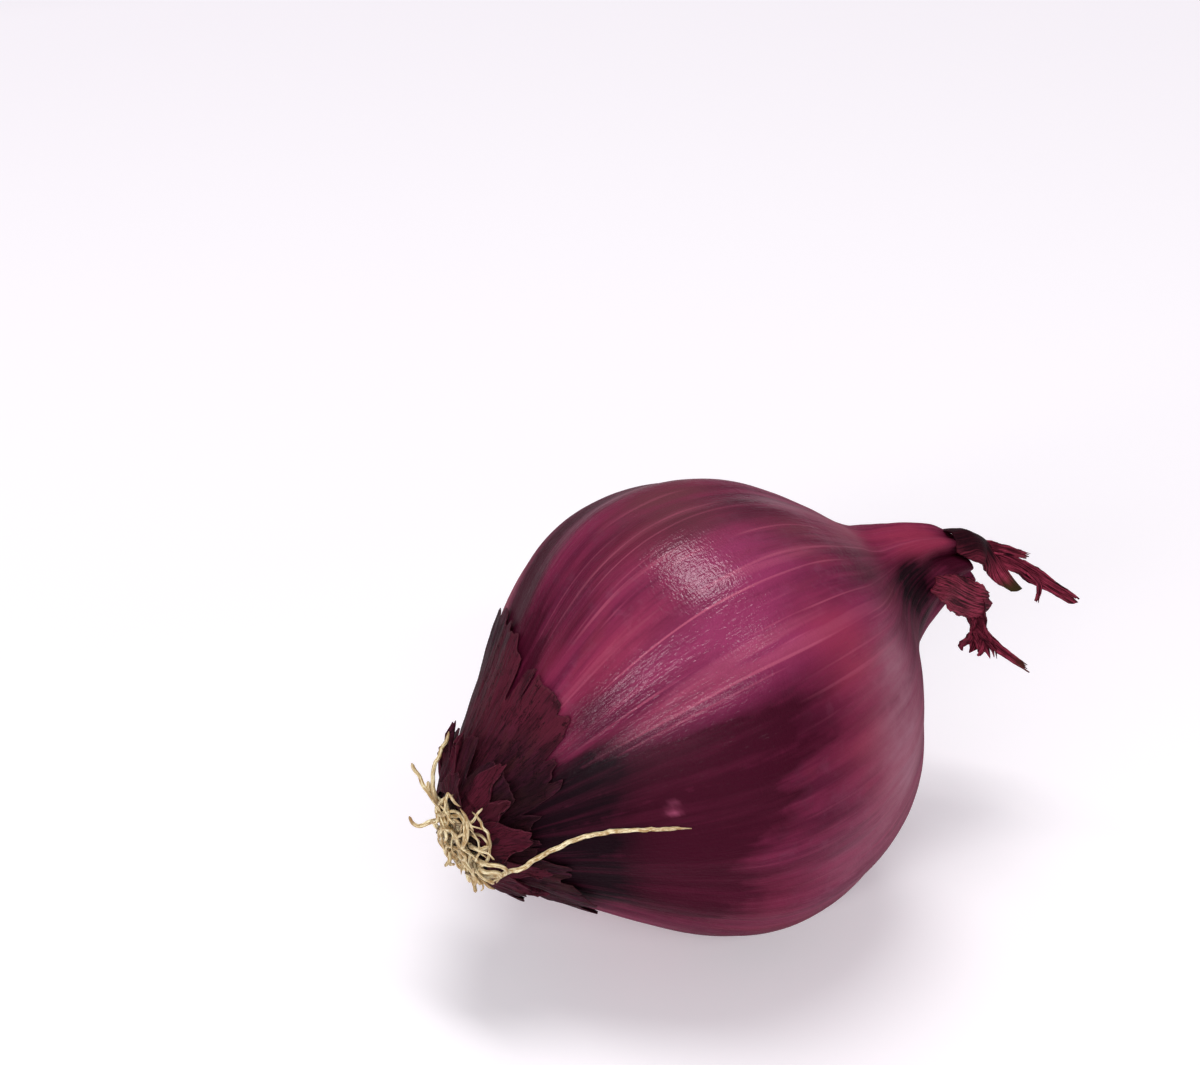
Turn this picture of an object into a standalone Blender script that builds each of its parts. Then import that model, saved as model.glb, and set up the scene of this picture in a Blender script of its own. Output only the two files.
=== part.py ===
"""A red onion lying on its side: the bulb, torn outer skins, dried roots and the dried leaf ends at its neck.

The onion is drawn upright in millimetres: the middle of the globe is at zero, the neck points up and the
roots point down. Turns are measured round the upright axis. Turn 0 ends up beneath and turn 180 on top,
once the onion is laid on its side.
"""
import math
import random

import bmesh
import bpy
from mathutils import Vector, noise

MM = 0.001

# The lying onion
ROOT_END_DIP = 11.0
REST_HEIGHT = 36.8
REST_FORWARD = 1.93

# Outline of the globe and neck: height above the middle, and radius
OUTLINE = (
    (-44.0, 7.0), (-42.0, 9.2), (-36.0, 14.8), (-30.0, 20.3), (-24.0, 25.9), (-18.0, 31.0), (-12.0, 34.8),
    (-6.0, 36.9), (0.0, 37.5), (6.0, 36.95), (12.0, 35.2), (18.0, 32.2), (24.0, 27.4), (29.0, 21.4),
    (33.0, 15.6), (36.0, 12.4), (40.0, 10.1), (43.0, 8.8), (47.0, 7.1), (51.0, 5.7), (53.4, 4.8),
)
ROOT_END = -44.0
NECK_END = 53.4
NECK_LEAN = 5.0
NECK_DROOP = 0.024
CLEFT_DEPTH = 1.6
CLEFT_TURN = 233.0
BULB_RIBS = 11
RIB_DEPTH = 0.22
PLEATS = 8
PLEAT_DEPTH = 0.6
GLOBE_SEGMENTS = 58

# Dry skins and leaves
SKIN_THICKNESS = 0.6
SKIN_GAP = 0.32

# Root tuft
PLATE_RADIUS = 6.2
ROOT_RADIUS = 0.5
ROOT_CLEARANCE = 2.8
PLATE_STAND = 2.0
TANGLE_MIDDLE = (-3.0, -4.6)
TANGLE_RADIUS = 6.7
LOOSE_ROOTS = 34
SEED = 8


def outline_radius(height):
    """Radius of the outline at a height, as a smooth curve through its points."""
    points = OUTLINE
    height = min(max(height, points[0][0]), points[-1][0])
    at = 0
    while at < len(points) - 2 and points[at + 1][0] < height:
        at += 1
    (z1, r1), (z2, r2) = points[at], points[at + 1]
    z0, r0 = points[max(at - 1, 0)]
    z3, r3 = points[min(at + 2, len(points) - 1)]
    slope_1 = (r2 - r0) / (z2 - z0)
    slope_2 = (r3 - r1) / (z3 - z1)
    step = z2 - z1
    t = (height - z1) / step
    return (
        (2 * t ** 3 - 3 * t ** 2 + 1) * r1
        + (t ** 3 - 2 * t ** 2 + t) * step * slope_1
        + (3 * t ** 2 - 2 * t ** 3) * r2
        + (t ** 3 - t ** 2) * step * slope_2
    )


def ease(low, high, value):
    """0 below low, 1 above high, and a smooth step between them."""
    t = min(max((value - low) / (high - low), 0.0), 1.0)
    return t * t * (3 - 2 * t)


def neck_middle(height):
    """The neck leans up, to the side of turn 180, and droops again to its end."""
    return -NECK_LEAN * ease(22, 41, height) + NECK_DROOP * max(height - 43, 0) ** 2


def on_skin(turn, height, lift=0.0):
    """The point of the onion's skin at a turn in radians and a height, lifted square to the skin."""
    radius = outline_radius(height)
    slope = outline_radius(height + 0.5) - outline_radius(height - 0.5)
    globe = ease(-44, -20, height) * (1 - ease(20, 36, height))
    radius += RIB_DEPTH * globe * (math.cos(BULB_RIBS * turn) + math.cos((BULB_RIBS + 6) * turn + 1.3))
    neck = ease(30, 50, height)
    radius += PLEAT_DEPTH * neck * math.cos(PLEATS * turn + 0.05 * (height - 30))
    cleft = math.exp(-((math.degrees(turn) % 360 - CLEFT_TURN) / 9) ** 2)
    radius -= CLEFT_DEPTH * cleft * ease(40, 47, height)
    out = 1 / math.hypot(1, slope)
    radius += lift * out
    return Vector((
        neck_middle(height) + radius * math.cos(turn),
        radius * math.sin(turn),
        height - lift * slope * out,
    ))


def colour_of(hex_code):
    """An sRGB hex colour as linear values."""
    levels = [int(hex_code[at:at + 2], 16) / 255 for at in (0, 2, 4)]
    return [level / 12.92 if level < 0.04045 else ((level + 0.055) / 1.055) ** 2.4 for level in levels] + [1.0]


def surface(name, hex_code, roughness):
    material = bpy.data.materials.new(name)
    material.use_nodes = True
    shader = material.node_tree.nodes["Principled BSDF"]
    shader.inputs["Base Color"].default_value = colour_of(hex_code)
    shader.inputs["Roughness"].default_value = roughness
    return material


def finish(mesh_tool, name, material, collection=None):
    """Turns the millimetre shape into an object in metres and lays it down with the onion."""
    bmesh.ops.scale(mesh_tool, vec=(MM, MM, MM), verts=mesh_tool.verts)
    mesh = bpy.data.meshes.new(name)
    mesh_tool.to_mesh(mesh)
    mesh_tool.free()
    mesh.materials.append(material)
    piece = bpy.data.objects.new(name, mesh)
    (collection or onion).objects.link(piece)
    piece.parent = lying
    return piece


def sheet(columns, rows, place, closed=False):
    """A thin sheet of columns by rows, placed by a function of two shares from 0 to 1."""
    tool = bmesh.new()
    bmesh.ops.create_grid(tool, x_segments=columns, y_segments=rows, size=0.5)
    for vert in tool.verts:
        vert.co = place(vert.co.x + 0.5, vert.co.y + 0.5)
    if closed:
        bmesh.ops.remove_doubles(tool, verts=tool.verts, dist=0.001)
    bmesh.ops.triangulate(tool, faces=tool.faces)
    return tool


def thicken(piece, thickness, offset):
    """Gives a sheet its thickness, outward for an offset of 1 and to both sides for 0."""
    wall = piece.modifiers.new("wall", "SOLIDIFY")
    wall.thickness = thickness * MM
    wall.offset = offset


def between(points, value):
    """The second number of a row of pairs at a value of the first, in straight steps."""
    for (a, low), (b, high) in zip(points, points[1:]):
        if value <= b:
            return low + (high - low) * (value - a) / (b - a)
    return points[-1][1]


def faces_out(tool, middle):
    """Turns every face of a sheet away from the onion's axis."""
    bmesh.ops.recalc_face_normals(tool, faces=tool.faces)
    face = tool.faces[0]
    centre = face.calc_center_median()
    if face.normal.dot(centre - Vector((middle, 0, centre.z))) < 0:
        bmesh.ops.reverse_faces(tool, faces=tool.faces)


def fibre(name, points, radius):
    """A round rod along points, thinner to its tip, as a curve turned into a closed mesh."""
    curve = bpy.data.curves.new(name, "CURVE")
    curve.dimensions = "3D"
    curve.resolution_u = 2
    curve.bevel_depth = 1.0
    curve.bevel_resolution = 0
    curve.use_fill_caps = True
    line = curve.splines.new("NURBS")
    line.points.add(len(points) - 1)
    line.order_u = 4
    line.use_endpoint_u = True
    for at, (place, point) in enumerate(zip(points, line.points)):
        point.co = (*place, 1)
        point.radius = radius * (1 - 0.35 * at / len(points))
    guide = bpy.data.objects.new(name, curve)
    helpers.objects.link(guide)
    mesh = bpy.data.meshes.new_from_object(guide.evaluated_get(bpy.context.evaluated_depsgraph_get()))
    bpy.data.objects.remove(guide)
    tool = bmesh.new()
    tool.from_mesh(mesh)
    bmesh.ops.remove_doubles(tool, verts=tool.verts, dist=0.001)
    bmesh.ops.recalc_face_normals(tool, faces=tool.faces)
    return finish(tool, name, root_fibre, roots)


def over_root_end(x, y, stand):
    """A point over the root end: below the plate in its middle, and off the collar's slope farther out."""
    reach = math.hypot(x, y)
    slant = ease(3.5, 7.5, reach)
    out = Vector((0.7 * slant * x / max(reach, 0.01), 0.7 * slant * y / max(reach, 0.01), 0.3 * slant - 1))
    height = ROOT_END + max(reach - outline_radius(ROOT_END), 0)
    return Vector((x, y, height)) + out * (stand + PLATE_STAND + (ROOT_CLEARANCE - PLATE_STAND) * slant)


def outer_shell(mesh):
    """Keeps a mesh's outer surface, its shell of most faces: sealed hollows are filled and loose scraps dropped."""
    tool = bmesh.new()
    tool.from_mesh(mesh)
    shells = []
    left = set(tool.faces)
    while left:
        shell = [left.pop()]
        for face in shell:
            near = {other for edge in face.edges for other in edge.link_faces} & left
            left -= near
            shell.extend(near)
        shells.append(shell)
    spare = set(tool.faces) - set(max(shells, key=len))
    bmesh.ops.delete(tool, geom=list(spare), context="FACES")
    tool.to_mesh(mesh)
    tool.free()


def fuse(piece, parts, solver="EXACT"):
    """One body from a piece and the objects of a collection, which are then removed."""
    join = piece.modifiers.new("join", "BOOLEAN")
    join.operation = "UNION"
    join.operand_type = "COLLECTION"
    join.collection = parts
    join.solver = solver
    bpy.context.view_layer.update()
    mesh = bpy.data.meshes.new_from_object(piece.evaluated_get(bpy.context.evaluated_depsgraph_get()))
    outer_shell(mesh)
    piece.modifiers.clear()
    piece.data = mesh
    for part in list(parts.objects):
        bpy.data.objects.remove(part)


def path_frame(points, share):
    """Place and heading on a smooth line through points, at a share of its length from 0 to 1."""
    last = len(points) - 1
    at = min(int(share * last), last - 1)
    t = share * last - at
    p1, p2 = Vector(points[at]), Vector(points[at + 1])
    p0 = Vector(points[at - 1]) if at else p1 * 2 - p2
    p3 = Vector(points[at + 2]) if at + 2 <= last else p2 * 2 - p1
    place = 0.5 * (
        2 * p1 + (p2 - p0) * t + (2 * p0 - 5 * p1 + 4 * p2 - p3) * t ** 2 + (3 * p1 - p0 - 3 * p2 + p3) * t ** 3
    )
    heading = 0.5 * ((p2 - p0) + 2 * (2 * p0 - 5 * p1 + 4 * p2 - p3) * t + 3 * (3 * p1 - p0 - 3 * p2 + p3) * t ** 2)
    return place, heading.normalized()


def strip(name, points, widths, face_on, cup=0.25, ragged=0.15, columns=4, rows=7, part_of=None):
    """A torn strip of dry leaf along points: its width changes, its section is cupped and its sides are ragged."""
    facing = Vector(face_on).normalized()

    def place(across, along):
        spot, heading = path_frame(points, along)
        side = heading.cross(facing).normalized()
        up = side.cross(heading)
        width = between(widths, along)
        u = 2 * across - 1
        torn = 1 + ragged * noise.noise(Vector((along * 9.0, 3.0 * (u > 0), len(name)))) * abs(u)
        twist = 0.35 * noise.noise(Vector((along * 3.0, len(name), 1.7)))
        return spot + side * (u * width / 2 * torn) + up * (cup * width * (u * u - 0.4) + twist * u * width / 2)

    tool = sheet(columns, rows, place)
    bmesh.ops.recalc_face_normals(tool, faces=tool.faces)
    piece = finish(tool, name, dry_leaf, part_of)
    thicken(piece, SKIN_THICKNESS, 0)
    return piece


for old in list(bpy.data.objects):
    bpy.data.objects.remove(old)

onion = bpy.data.collections.new("red_onion")
bpy.context.scene.collection.children.link(onion)
helpers = bpy.data.collections.new("helpers")
helpers.hide_render = True
bpy.context.scene.collection.children.link(helpers)
roots = bpy.data.collections.new("roots")
helpers.children.link(roots)
tongues = bpy.data.collections.new("tongues")
helpers.children.link(tongues)

lying = bpy.data.objects.new("lying", None)
onion.objects.link(lying)
lying.rotation_euler = (0, math.radians(90 - ROOT_END_DIP), 0)
lying.location = (-REST_FORWARD * MM, 0, REST_HEIGHT * MM)

bulb_skin = surface("onion_skin", "6A1F3C", 0.4)
dry_skin = surface("dry_skin", "4A2A30", 0.6)
root_fibre = surface("dried_root", "D9C48F", 0.75)
dry_leaf = surface("dry_leaf", "4D1A2A", 0.6)

# Bulb: the globe and its neck, spun from the outline, then ribbed, pleated and leant
shape = bmesh.new()
heights = [-44, -43, -41.5, -39.5, -37, -34, -31, -28, -25, -22, -19, -16, -13, -10, -7, -4, -1, 2, 5, 8, 11]
heights += [14, 17, 20, 23, 26, 28.5, 31, 33, 35, 37, 39.5, 42, 45, 48, 51, NECK_END]
ends = [shape.verts.new((0, 0, ROOT_END))]
ends += [shape.verts.new((outline_radius(height), 0, height)) for height in heights]
ends.append(shape.verts.new((0, 0, NECK_END)))
lines = [shape.edges.new(pair) for pair in zip(ends, ends[1:])]
bmesh.ops.spin(
    shape, geom=ends + lines, axis=(0, 0, 1), cent=(0, 0, 0), angle=math.tau, steps=GLOBE_SEGMENTS, use_merge=True
)
bmesh.ops.remove_doubles(shape, verts=shape.verts, dist=0.001)
for vert in shape.verts:
    x, y, height = vert.co
    if math.hypot(x, y) > 0.01:
        vert.co = on_skin(math.atan2(y, x), height)
    elif height > 0:
        vert.co = (neck_middle(height), 0, NECK_END - 1.5)
bmesh.ops.recalc_face_normals(shape, faces=shape.faces)
dip = math.radians(ROOT_END_DIP)
below = Vector((math.cos(dip), 0, -math.sin(dip)))
cut = bmesh.ops.bisect_plane(
    shape,
    geom=shape.verts[:] + shape.edges[:] + shape.faces[:],
    dist=0.0001,
    plane_co=below * REST_HEIGHT,
    plane_no=below,
    clear_outer=True,
)
rim = [part for part in cut["geom_cut"] if isinstance(part, bmesh.types.BMEdge)]
bmesh.ops.edgeloop_fill(shape, edges=rim)
bmesh.ops.recalc_face_normals(shape, faces=shape.faces)
bulb = finish(shape, "bulb", bulb_skin)


# Old skin: what is left of an outer dry scale, a cup round the root end with a torn, slit edge.
# Its edge is given as turn in degrees and height
OLD_SKIN_EDGE = (
    (0, -30.5), (9, -29.0), (18, -31.5), (27, -27.0), (36, -26.0), (42, -31.0), (48, -27.5), (63, -24.5),
    (75, -23.0), (84, -27.5), (93, -22.5), (108, -21.0), (123, -20.5), (138, -21.5), (156, -23.0), (168, -25.0),
    (174, -26.0), (177, -31.2), (180, -27.0), (198, -26.9), (213, -27.2), (216, -31.0), (228, -32.3),
    (231, -33.0), (234, -38.2), (240, -35.5), (246, -37.3), (258, -36.8), (267, -37.6), (273, -35.2),
    (282, -35.6), (291, -34.3), (300, -31.9), (306, -32.4), (312, -34.8), (318, -35.6), (327, -32.0),
    (339, -28.5), (348, -33.5), (354, -29.5), (360, -30.5),
)
OLD_SKIN_FOOT = -43.4


def old_skin_place(around, up):
    turn = math.radians(360 * around)
    edge = between(OLD_SKIN_EDGE, 360 * around % 360)
    edge += 0.7 * noise.noise(Vector((9 * math.cos(turn), 9 * math.sin(turn), 2.3)))
    height = OLD_SKIN_FOOT + (edge - OLD_SKIN_FOOT) * up
    fold = noise.noise(Vector((3 * math.cos(turn), 3 * math.sin(turn), height * 0.05)))
    curl = (0.25 + 0.8 * abs(fold)) * ease(0.7, 1.0, up)
    beneath = math.exp(-((360 * around - 300) / 12) ** 2)
    curl += 1.3 * beneath * ease(0.2, 0.9, up)
    return on_skin(turn, height, SKIN_GAP + curl)


shape = sheet(100, 6, old_skin_place, closed=True)
faces_out(shape, 0)
old_skin = finish(shape, "old_skin", dry_skin)
thicken(old_skin, SKIN_THICKNESS, 1)

# Collar: the rest of the outermost dry scale, a short ring of torn, curled lobes round the root plate.
# Its edge is given as turn in degrees and height
COLLAR_EDGE = (
    (0, -39.5), (12, -37.8), (20, -41.5), (28, -38.0), (44, -37.0), (56, -38.4), (64, -41.8), (72, -38.5),
    (92, -36.4), (104, -37.6), (112, -41.6), (124, -38.2), (140, -37.2), (152, -36.6), (160, -40.6),
    (168, -37.0), (180, -36.2), (188, -40.9), (196, -37.1), (212, -36.6), (224, -37.0), (232, -41.4),
    (240, -41.0), (264, -41.6), (284, -41.4), (296, -40.4), (312, -39.4), (324, -42.0), (336, -38.4),
    (348, -38.0), (360, -39.5),
)
COLLAR_FOOT = -43.9
COLLAR_GAP = SKIN_GAP + SKIN_THICKNESS + 0.45


def collar_place(around, up):
    turn = math.radians(360 * around)
    edge = between(COLLAR_EDGE, 360 * around % 360)
    height = COLLAR_FOOT + (edge - COLLAR_FOOT) * up
    length = edge - COLLAR_FOOT
    curl = 0.09 * length * ease(0.3, 1.0, up)
    return on_skin(turn, height, COLLAR_GAP + curl)


shape = sheet(76, 4, collar_place, closed=True)
faces_out(shape, 0)
collar = finish(shape, "collar", dry_skin)
thicken(collar, SKIN_THICKNESS, 1)

# Root tuft: the corky root plate and its dried roots, fused into one
shape = bmesh.new()
bmesh.ops.create_icosphere(shape, subdivisions=3, radius=1)
for vert in shape.verts:
    bump = 1 + 0.12 * noise.noise(vert.co * 2.5)
    vert.co = Vector((vert.co.x * PLATE_RADIUS, vert.co.y * PLATE_RADIUS, vert.co.z * 1.9)) * bump
    vert.co.z += ROOT_END - 0.8
bmesh.ops.bisect_plane(
    shape,
    geom=shape.verts[:] + shape.edges[:] + shape.faces[:],
    dist=0.0001,
    plane_co=(0, 0, ROOT_END - 0.35),
    plane_no=(0, 0, 1),
    clear_outer=True,
)
bmesh.ops.holes_fill(shape, edges=[edge for edge in shape.edges if edge.is_boundary])
bmesh.ops.recalc_face_normals(shape, faces=shape.faces)
root_tuft = finish(shape, "root_tuft", root_fibre)

# Roots that stand out of the tuft, each as points and a radius
LONG_ROOT = (
    (2.6, -2.2, -45.0), (1.9, -6.0, -46.9), (0.7, -9.6, -46.3), (-0.2, -12.2, -43.6), (-1.9, -14.6, -40.2),
    (-3.6, -16.1, -37.9), (-4.9, -17.6, -35.8), (-5.9, -19.2, -33.0), (-6.6, -21.2, -30.5), (-7.0, -23.8, -27.7),
    (-7.5, -26.5, -24.9), (-7.8, -29.0, -22.6), (-8.1, -31.4, -20.6),
)
STANDING_ROOTS = (
    ((-4.4, 2.2, -44.8), (-7.2, 3.4, -46.5), (-10.6, 4.3, -45.2), (-12.6, 5.4, -42.4), (-14.6, 6.4, -39.6)),
    ((-3.4, 2.4, -45.0), (-6.0, 4.0, -46.4), (-8.6, 5.6, -46.2), (-11.4, 7.9, -46.6)),
    ((-3.0, 1.6, -45.2), (-4.0, 2.6, -47.4), (-2.6, 3.2, -49.0), (-3.0, 4.2, -50.2), (-4.8, 4.9, -50.2)),
    ((-4.8, 3.0, -44.9), (-7.0, 4.8, -46.2), (-8.6, 5.6, -45.6)),
    ((0.4, -0.4, -45.4), (1.6, -0.6, -47.4), (2.6, -1.0, -48.8)),
    ((3.4, -2.2, -45.0), (5.4, -3.6, -46.0), (7.2, -4.8, -46.6)),
    ((1.0, -3.6, -45.2), (-0.4, -8.2, -47.0), (-1.6, -11.8, -44.9), (-0.9, -12.4, -43.8), (0.6, -11.6, -44.4)),
    ((-0.6, -4.2, -45.0), (-2.4, -8.6, -46.8), (-2.9, -12.4, -44.0), (-1.6, -13.2, -42.8), (0.0, -12.0, -43.9)),
    ((-1.8, -3.8, -45.0), (-4.4, -7.8, -46.8), (-5.6, -11.2, -44.4)),
)



fibre("long_root", LONG_ROOT, ROOT_RADIUS * 1.1)
for number, points in enumerate(STANDING_ROOTS):
    fibre(f"standing_root_{number}", points, ROOT_RADIUS * 0.9)
draw = random.Random(SEED)
for number in range(LOOSE_ROOTS):
    turn = draw.uniform(0, math.tau) if number % 3 == 0 else math.radians(draw.uniform(180, 290))
    reach = draw.uniform(1.5, 5.2)
    spot = Vector((reach * math.cos(turn), reach * math.sin(turn)))
    points = [(spot.x, spot.y, ROOT_END - 1.0)]
    heading = turn + draw.uniform(-0.9, 0.9)
    curl = math.radians(draw.uniform(25, 65)) * draw.choice((-1, 1))
    stand = draw.uniform(0.0, 1.0)
    for _ in range(draw.randint(4, 7)):
        step = Vector((math.cos(heading), math.sin(heading))) * draw.uniform(1.2, 2.0)
        away = spot + step - Vector(TANGLE_MIDDLE)
        if away.length > TANGLE_RADIUS:
            step = -away.normalized() * 1.4
            heading = math.atan2(step.y, step.x)
        spot = spot + step
        heading += curl
        stand = min(max(stand + draw.uniform(-0.7, 0.8), 0.0), 2.2)
        points.append(over_root_end(spot.x, spot.y, stand))
    fibre(f"loose_root_{number}", points, ROOT_RADIUS * draw.uniform(0.72, 0.95))
fuse(root_tuft, roots, "MANIFOLD")


# Upper leaf: the dark fold that goes on from the upper side of the neck, torn into a spur, a long strip and
# a bent end. Each is given as points along its middle, and its widths as share of the length and width
FOLD = ((-5.0, 0.6, 55.9), (-3.3, -1.3, 57.6), (-0.3, -2.9, 58.6), (2.6, -5.1, 59.5), (5.4, -7.2, 60.9))
FOLD_WIDTHS = ((0.0, 7.0), (0.4, 7.2), (0.7, 4.8), (0.88, 2.6), (1.0, 1.2))
SPUR = ((-4.0, 0.2, 56.0), (-3.0, -1.1, 57.6), (-1.1, -3.1, 61.5), (1.0, -5.5, 65.0))
SPUR_WIDTHS = ((0.0, 2.4), (0.5, 2.2), (1.0, 0.9))
LONG_STRIP = ((-2.9, -1.2, 56.6), (0.9, -4.2, 61.5), (3.2, -6.5, 63.7), (6.2, -9.7, 66.2), (9.4, -12.7, 68.9))
LONG_STRIP_WIDTHS = ((0.0, 2.6), (0.3, 2.4), (0.55, 2.9), (0.75, 1.9), (0.92, 1.8), (1.0, 0.9))
THREAD = ((3.0, -6.2, 63.6), (4.6, -8.0, 64.0), (5.8, -8.8, 63.4), (7.0, -9.6, 62.0))
THREAD_WIDTHS = ((0.0, 1.2), (1.0, 0.8))

upper_leaf = strip("upper_leaf", FOLD, FOLD_WIDTHS, (-0.7, -0.3, 0.5), cup=-0.3, columns=6, rows=9)
strip("spur", SPUR, SPUR_WIDTHS, (-0.6, -0.8, 0.1), part_of=tongues)
strip("long_strip", LONG_STRIP, LONG_STRIP_WIDTHS, (-0.5, -0.6, -0.5), rows=10, part_of=tongues)
strip("thread", THREAD, THREAD_WIDTHS, (-0.5, -0.7, 0.2), columns=2, rows=6, part_of=tongues)
fuse(upper_leaf, tongues)

# Lower leaf: the broad flap under the cleft, from which a split strip hangs
FLAP = ((-8.6, -10.6, 40.9), (-5.6, -10.2, 44.2), (-0.2, -8.6, 49.0), (3.8, -7.9, 53.9))
FLAP_WIDTHS = ((0.0, 3.4), (0.35, 6.2), (0.75, 6.8), (0.92, 5.0), (1.0, 3.0))
HANGING_STRIP = ((1.4, -7.9, 50.2), (6.6, -8.0, 50.5), (9.3, -7.9, 49.4), (11.3, -7.6, 48.2))
HANGING_WIDTHS = ((0.0, 3.6), (0.45, 2.6), (0.75, 4.6), (0.9, 4.2), (1.0, 2.4))
LOBE = ((5.2, -8.0, 50.6), (8.0, -8.2, 50.6), (10.5, -9.0, 51.0), (13.8, -10.2, 51.2))
LOBE_WIDTHS = ((0.0, 2.0), (0.5, 2.6), (0.8, 3.0), (1.0, 1.4))
SPIKE = ((6.6, -8.0, 50.5), (9.0, -9.0, 51.4), (12.2, -10.8, 53.2), (16.1, -14.1, 56.1))
SPIKE_WIDTHS = ((0.0, 2.0), (0.5, 1.7), (1.0, 0.8))

lower_leaf = strip("lower_leaf", FLAP, FLAP_WIDTHS, (-0.3, -0.9, -0.1), cup=-0.08, columns=6, rows=8)
strip("hanging_strip", HANGING_STRIP, HANGING_WIDTHS, (-0.5, -0.8, -0.3), part_of=tongues)
strip("lobe", LOBE, LOBE_WIDTHS, (-0.6, -0.6, -0.5), part_of=tongues)
strip("spike", SPIKE, SPIKE_WIDTHS, (-0.5, -0.8, -0.1), part_of=tongues)
fuse(lower_leaf, tongues)

# Back leaf: the torn leaf end on the far side of the neck, split in two
BACK_FLAP = ((-2.6, 9.4, 44.0), (0.6, 8.0, 49.0), (4.4, 6.8, 54.0), (8.6, 6.2, 57.6))
BACK_FLAP_WIDTHS = ((0.0, 3.6), (0.35, 6.0), (0.7, 5.2), (1.0, 1.6))
BACK_TONGUE = ((0.8, 8.0, 49.4), (1.2, 7.8, 55.0), (0.6, 8.8, 60.0))
BACK_TONGUE_WIDTHS = ((0.0, 3.0), (0.5, 2.6), (1.0, 0.9))

back_leaf = strip("back_leaf", BACK_FLAP, BACK_FLAP_WIDTHS, (0.1, 1.0, 0.1), cup=-0.08, columns=6, rows=8)
strip("back_tongue", BACK_TONGUE, BACK_TONGUE_WIDTHS, (-0.2, 1.0, 0.1), part_of=tongues)
fuse(back_leaf, tongues)
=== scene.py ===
import math
import random

import bmesh
import bpy
from mathutils import Matrix, Vector, noise


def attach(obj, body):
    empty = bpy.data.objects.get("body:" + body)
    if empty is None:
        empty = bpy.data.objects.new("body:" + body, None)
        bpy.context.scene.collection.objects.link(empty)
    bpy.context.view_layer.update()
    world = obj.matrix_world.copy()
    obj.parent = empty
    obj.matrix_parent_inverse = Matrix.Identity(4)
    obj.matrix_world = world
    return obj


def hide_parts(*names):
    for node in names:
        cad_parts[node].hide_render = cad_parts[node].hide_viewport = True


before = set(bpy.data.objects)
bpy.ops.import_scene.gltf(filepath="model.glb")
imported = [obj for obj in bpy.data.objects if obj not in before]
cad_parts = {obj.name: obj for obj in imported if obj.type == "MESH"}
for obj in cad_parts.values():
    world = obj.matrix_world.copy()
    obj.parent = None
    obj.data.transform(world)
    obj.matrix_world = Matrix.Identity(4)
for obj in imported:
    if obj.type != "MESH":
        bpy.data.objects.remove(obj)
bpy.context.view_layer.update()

# Bulb
# The real piece is a globe of fleshy scales, grown in one, in a dry, papery scale that runs on into the neck.
# It is spun upright, in millimetres, roots down, then ribbed, pleated, leant and laid down, turn 180 on top.
MM = 0.001
ROOT_END_DIP = 11.0
REST_HEIGHT = 36.8
REST_FORWARD = 1.93
OUTLINE = (
    (-44.0, 7.0), (-42.0, 9.2), (-36.0, 14.8), (-30.0, 20.3), (-24.0, 25.9), (-18.0, 31.0), (-12.0, 34.8),
    (-6.0, 36.9), (0.0, 37.5), (6.0, 36.95), (12.0, 35.2), (18.0, 32.2), (24.0, 27.4), (29.0, 21.4),
    (33.0, 15.6), (36.0, 12.4), (40.0, 10.1), (43.0, 8.8), (47.0, 7.1), (51.0, 5.7), (53.4, 4.8),
)
ROOT_END = -44.0
NECK_END = 53.4
GLOBE_RADIUS = 37.5
NECK_LEAN = 5.0
NECK_DROOP = 0.024
CLEFT_DEPTH = 1.6
CLEFT_TURN = 233.0
BULB_RIBS = 11
RIB_DEPTH = 0.22
PLEATS = 8
PLEAT_DEPTH = 0.6
GLOBE_SEGMENTS = 224
GLOBE_RINGS = 160
MOUTH_LIP = ((0.5, 0.1), (0.9, -0.8), (1.2, -2.0))
MOUTH_DEPTH = 3.0
MOUTH_TEETH = 1.1

LAID_DOWN = (
    Matrix.Translation((-REST_FORWARD * MM, 0, REST_HEIGHT * MM))
    @ Matrix.Rotation(math.radians(90 - ROOT_END_DIP), 4, "Y")
    @ Matrix.Scale(MM, 4)
)


def outline_radius(height):
    """Radius of the outline at a height, as a smooth curve through its points."""
    points = OUTLINE
    height = min(max(height, points[0][0]), points[-1][0])
    at = 0
    while at < len(points) - 2 and points[at + 1][0] < height:
        at += 1
    (z1, r1), (z2, r2) = points[at], points[at + 1]
    z0, r0 = points[max(at - 1, 0)]
    z3, r3 = points[min(at + 2, len(points) - 1)]
    slope_1 = (r2 - r0) / (z2 - z0)
    slope_2 = (r3 - r1) / (z3 - z1)
    step = z2 - z1
    t = (height - z1) / step
    return (
        (2 * t ** 3 - 3 * t ** 2 + 1) * r1
        + (t ** 3 - 2 * t ** 2 + t) * step * slope_1
        + (3 * t ** 2 - 2 * t ** 3) * r2
        + (t ** 3 - t ** 2) * step * slope_2
    )


def ease(low, high, value):
    """0 below low, 1 above high, and a smooth step between them."""
    t = min(max((value - low) / (high - low), 0.0), 1.0)
    return t * t * (3 - 2 * t)


def neck_middle(height):
    """The neck leans up, to the side of turn 180, and droops again to its end."""
    return -NECK_LEAN * ease(22, 41, height) + NECK_DROOP * max(height - 43, 0) ** 2


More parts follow.
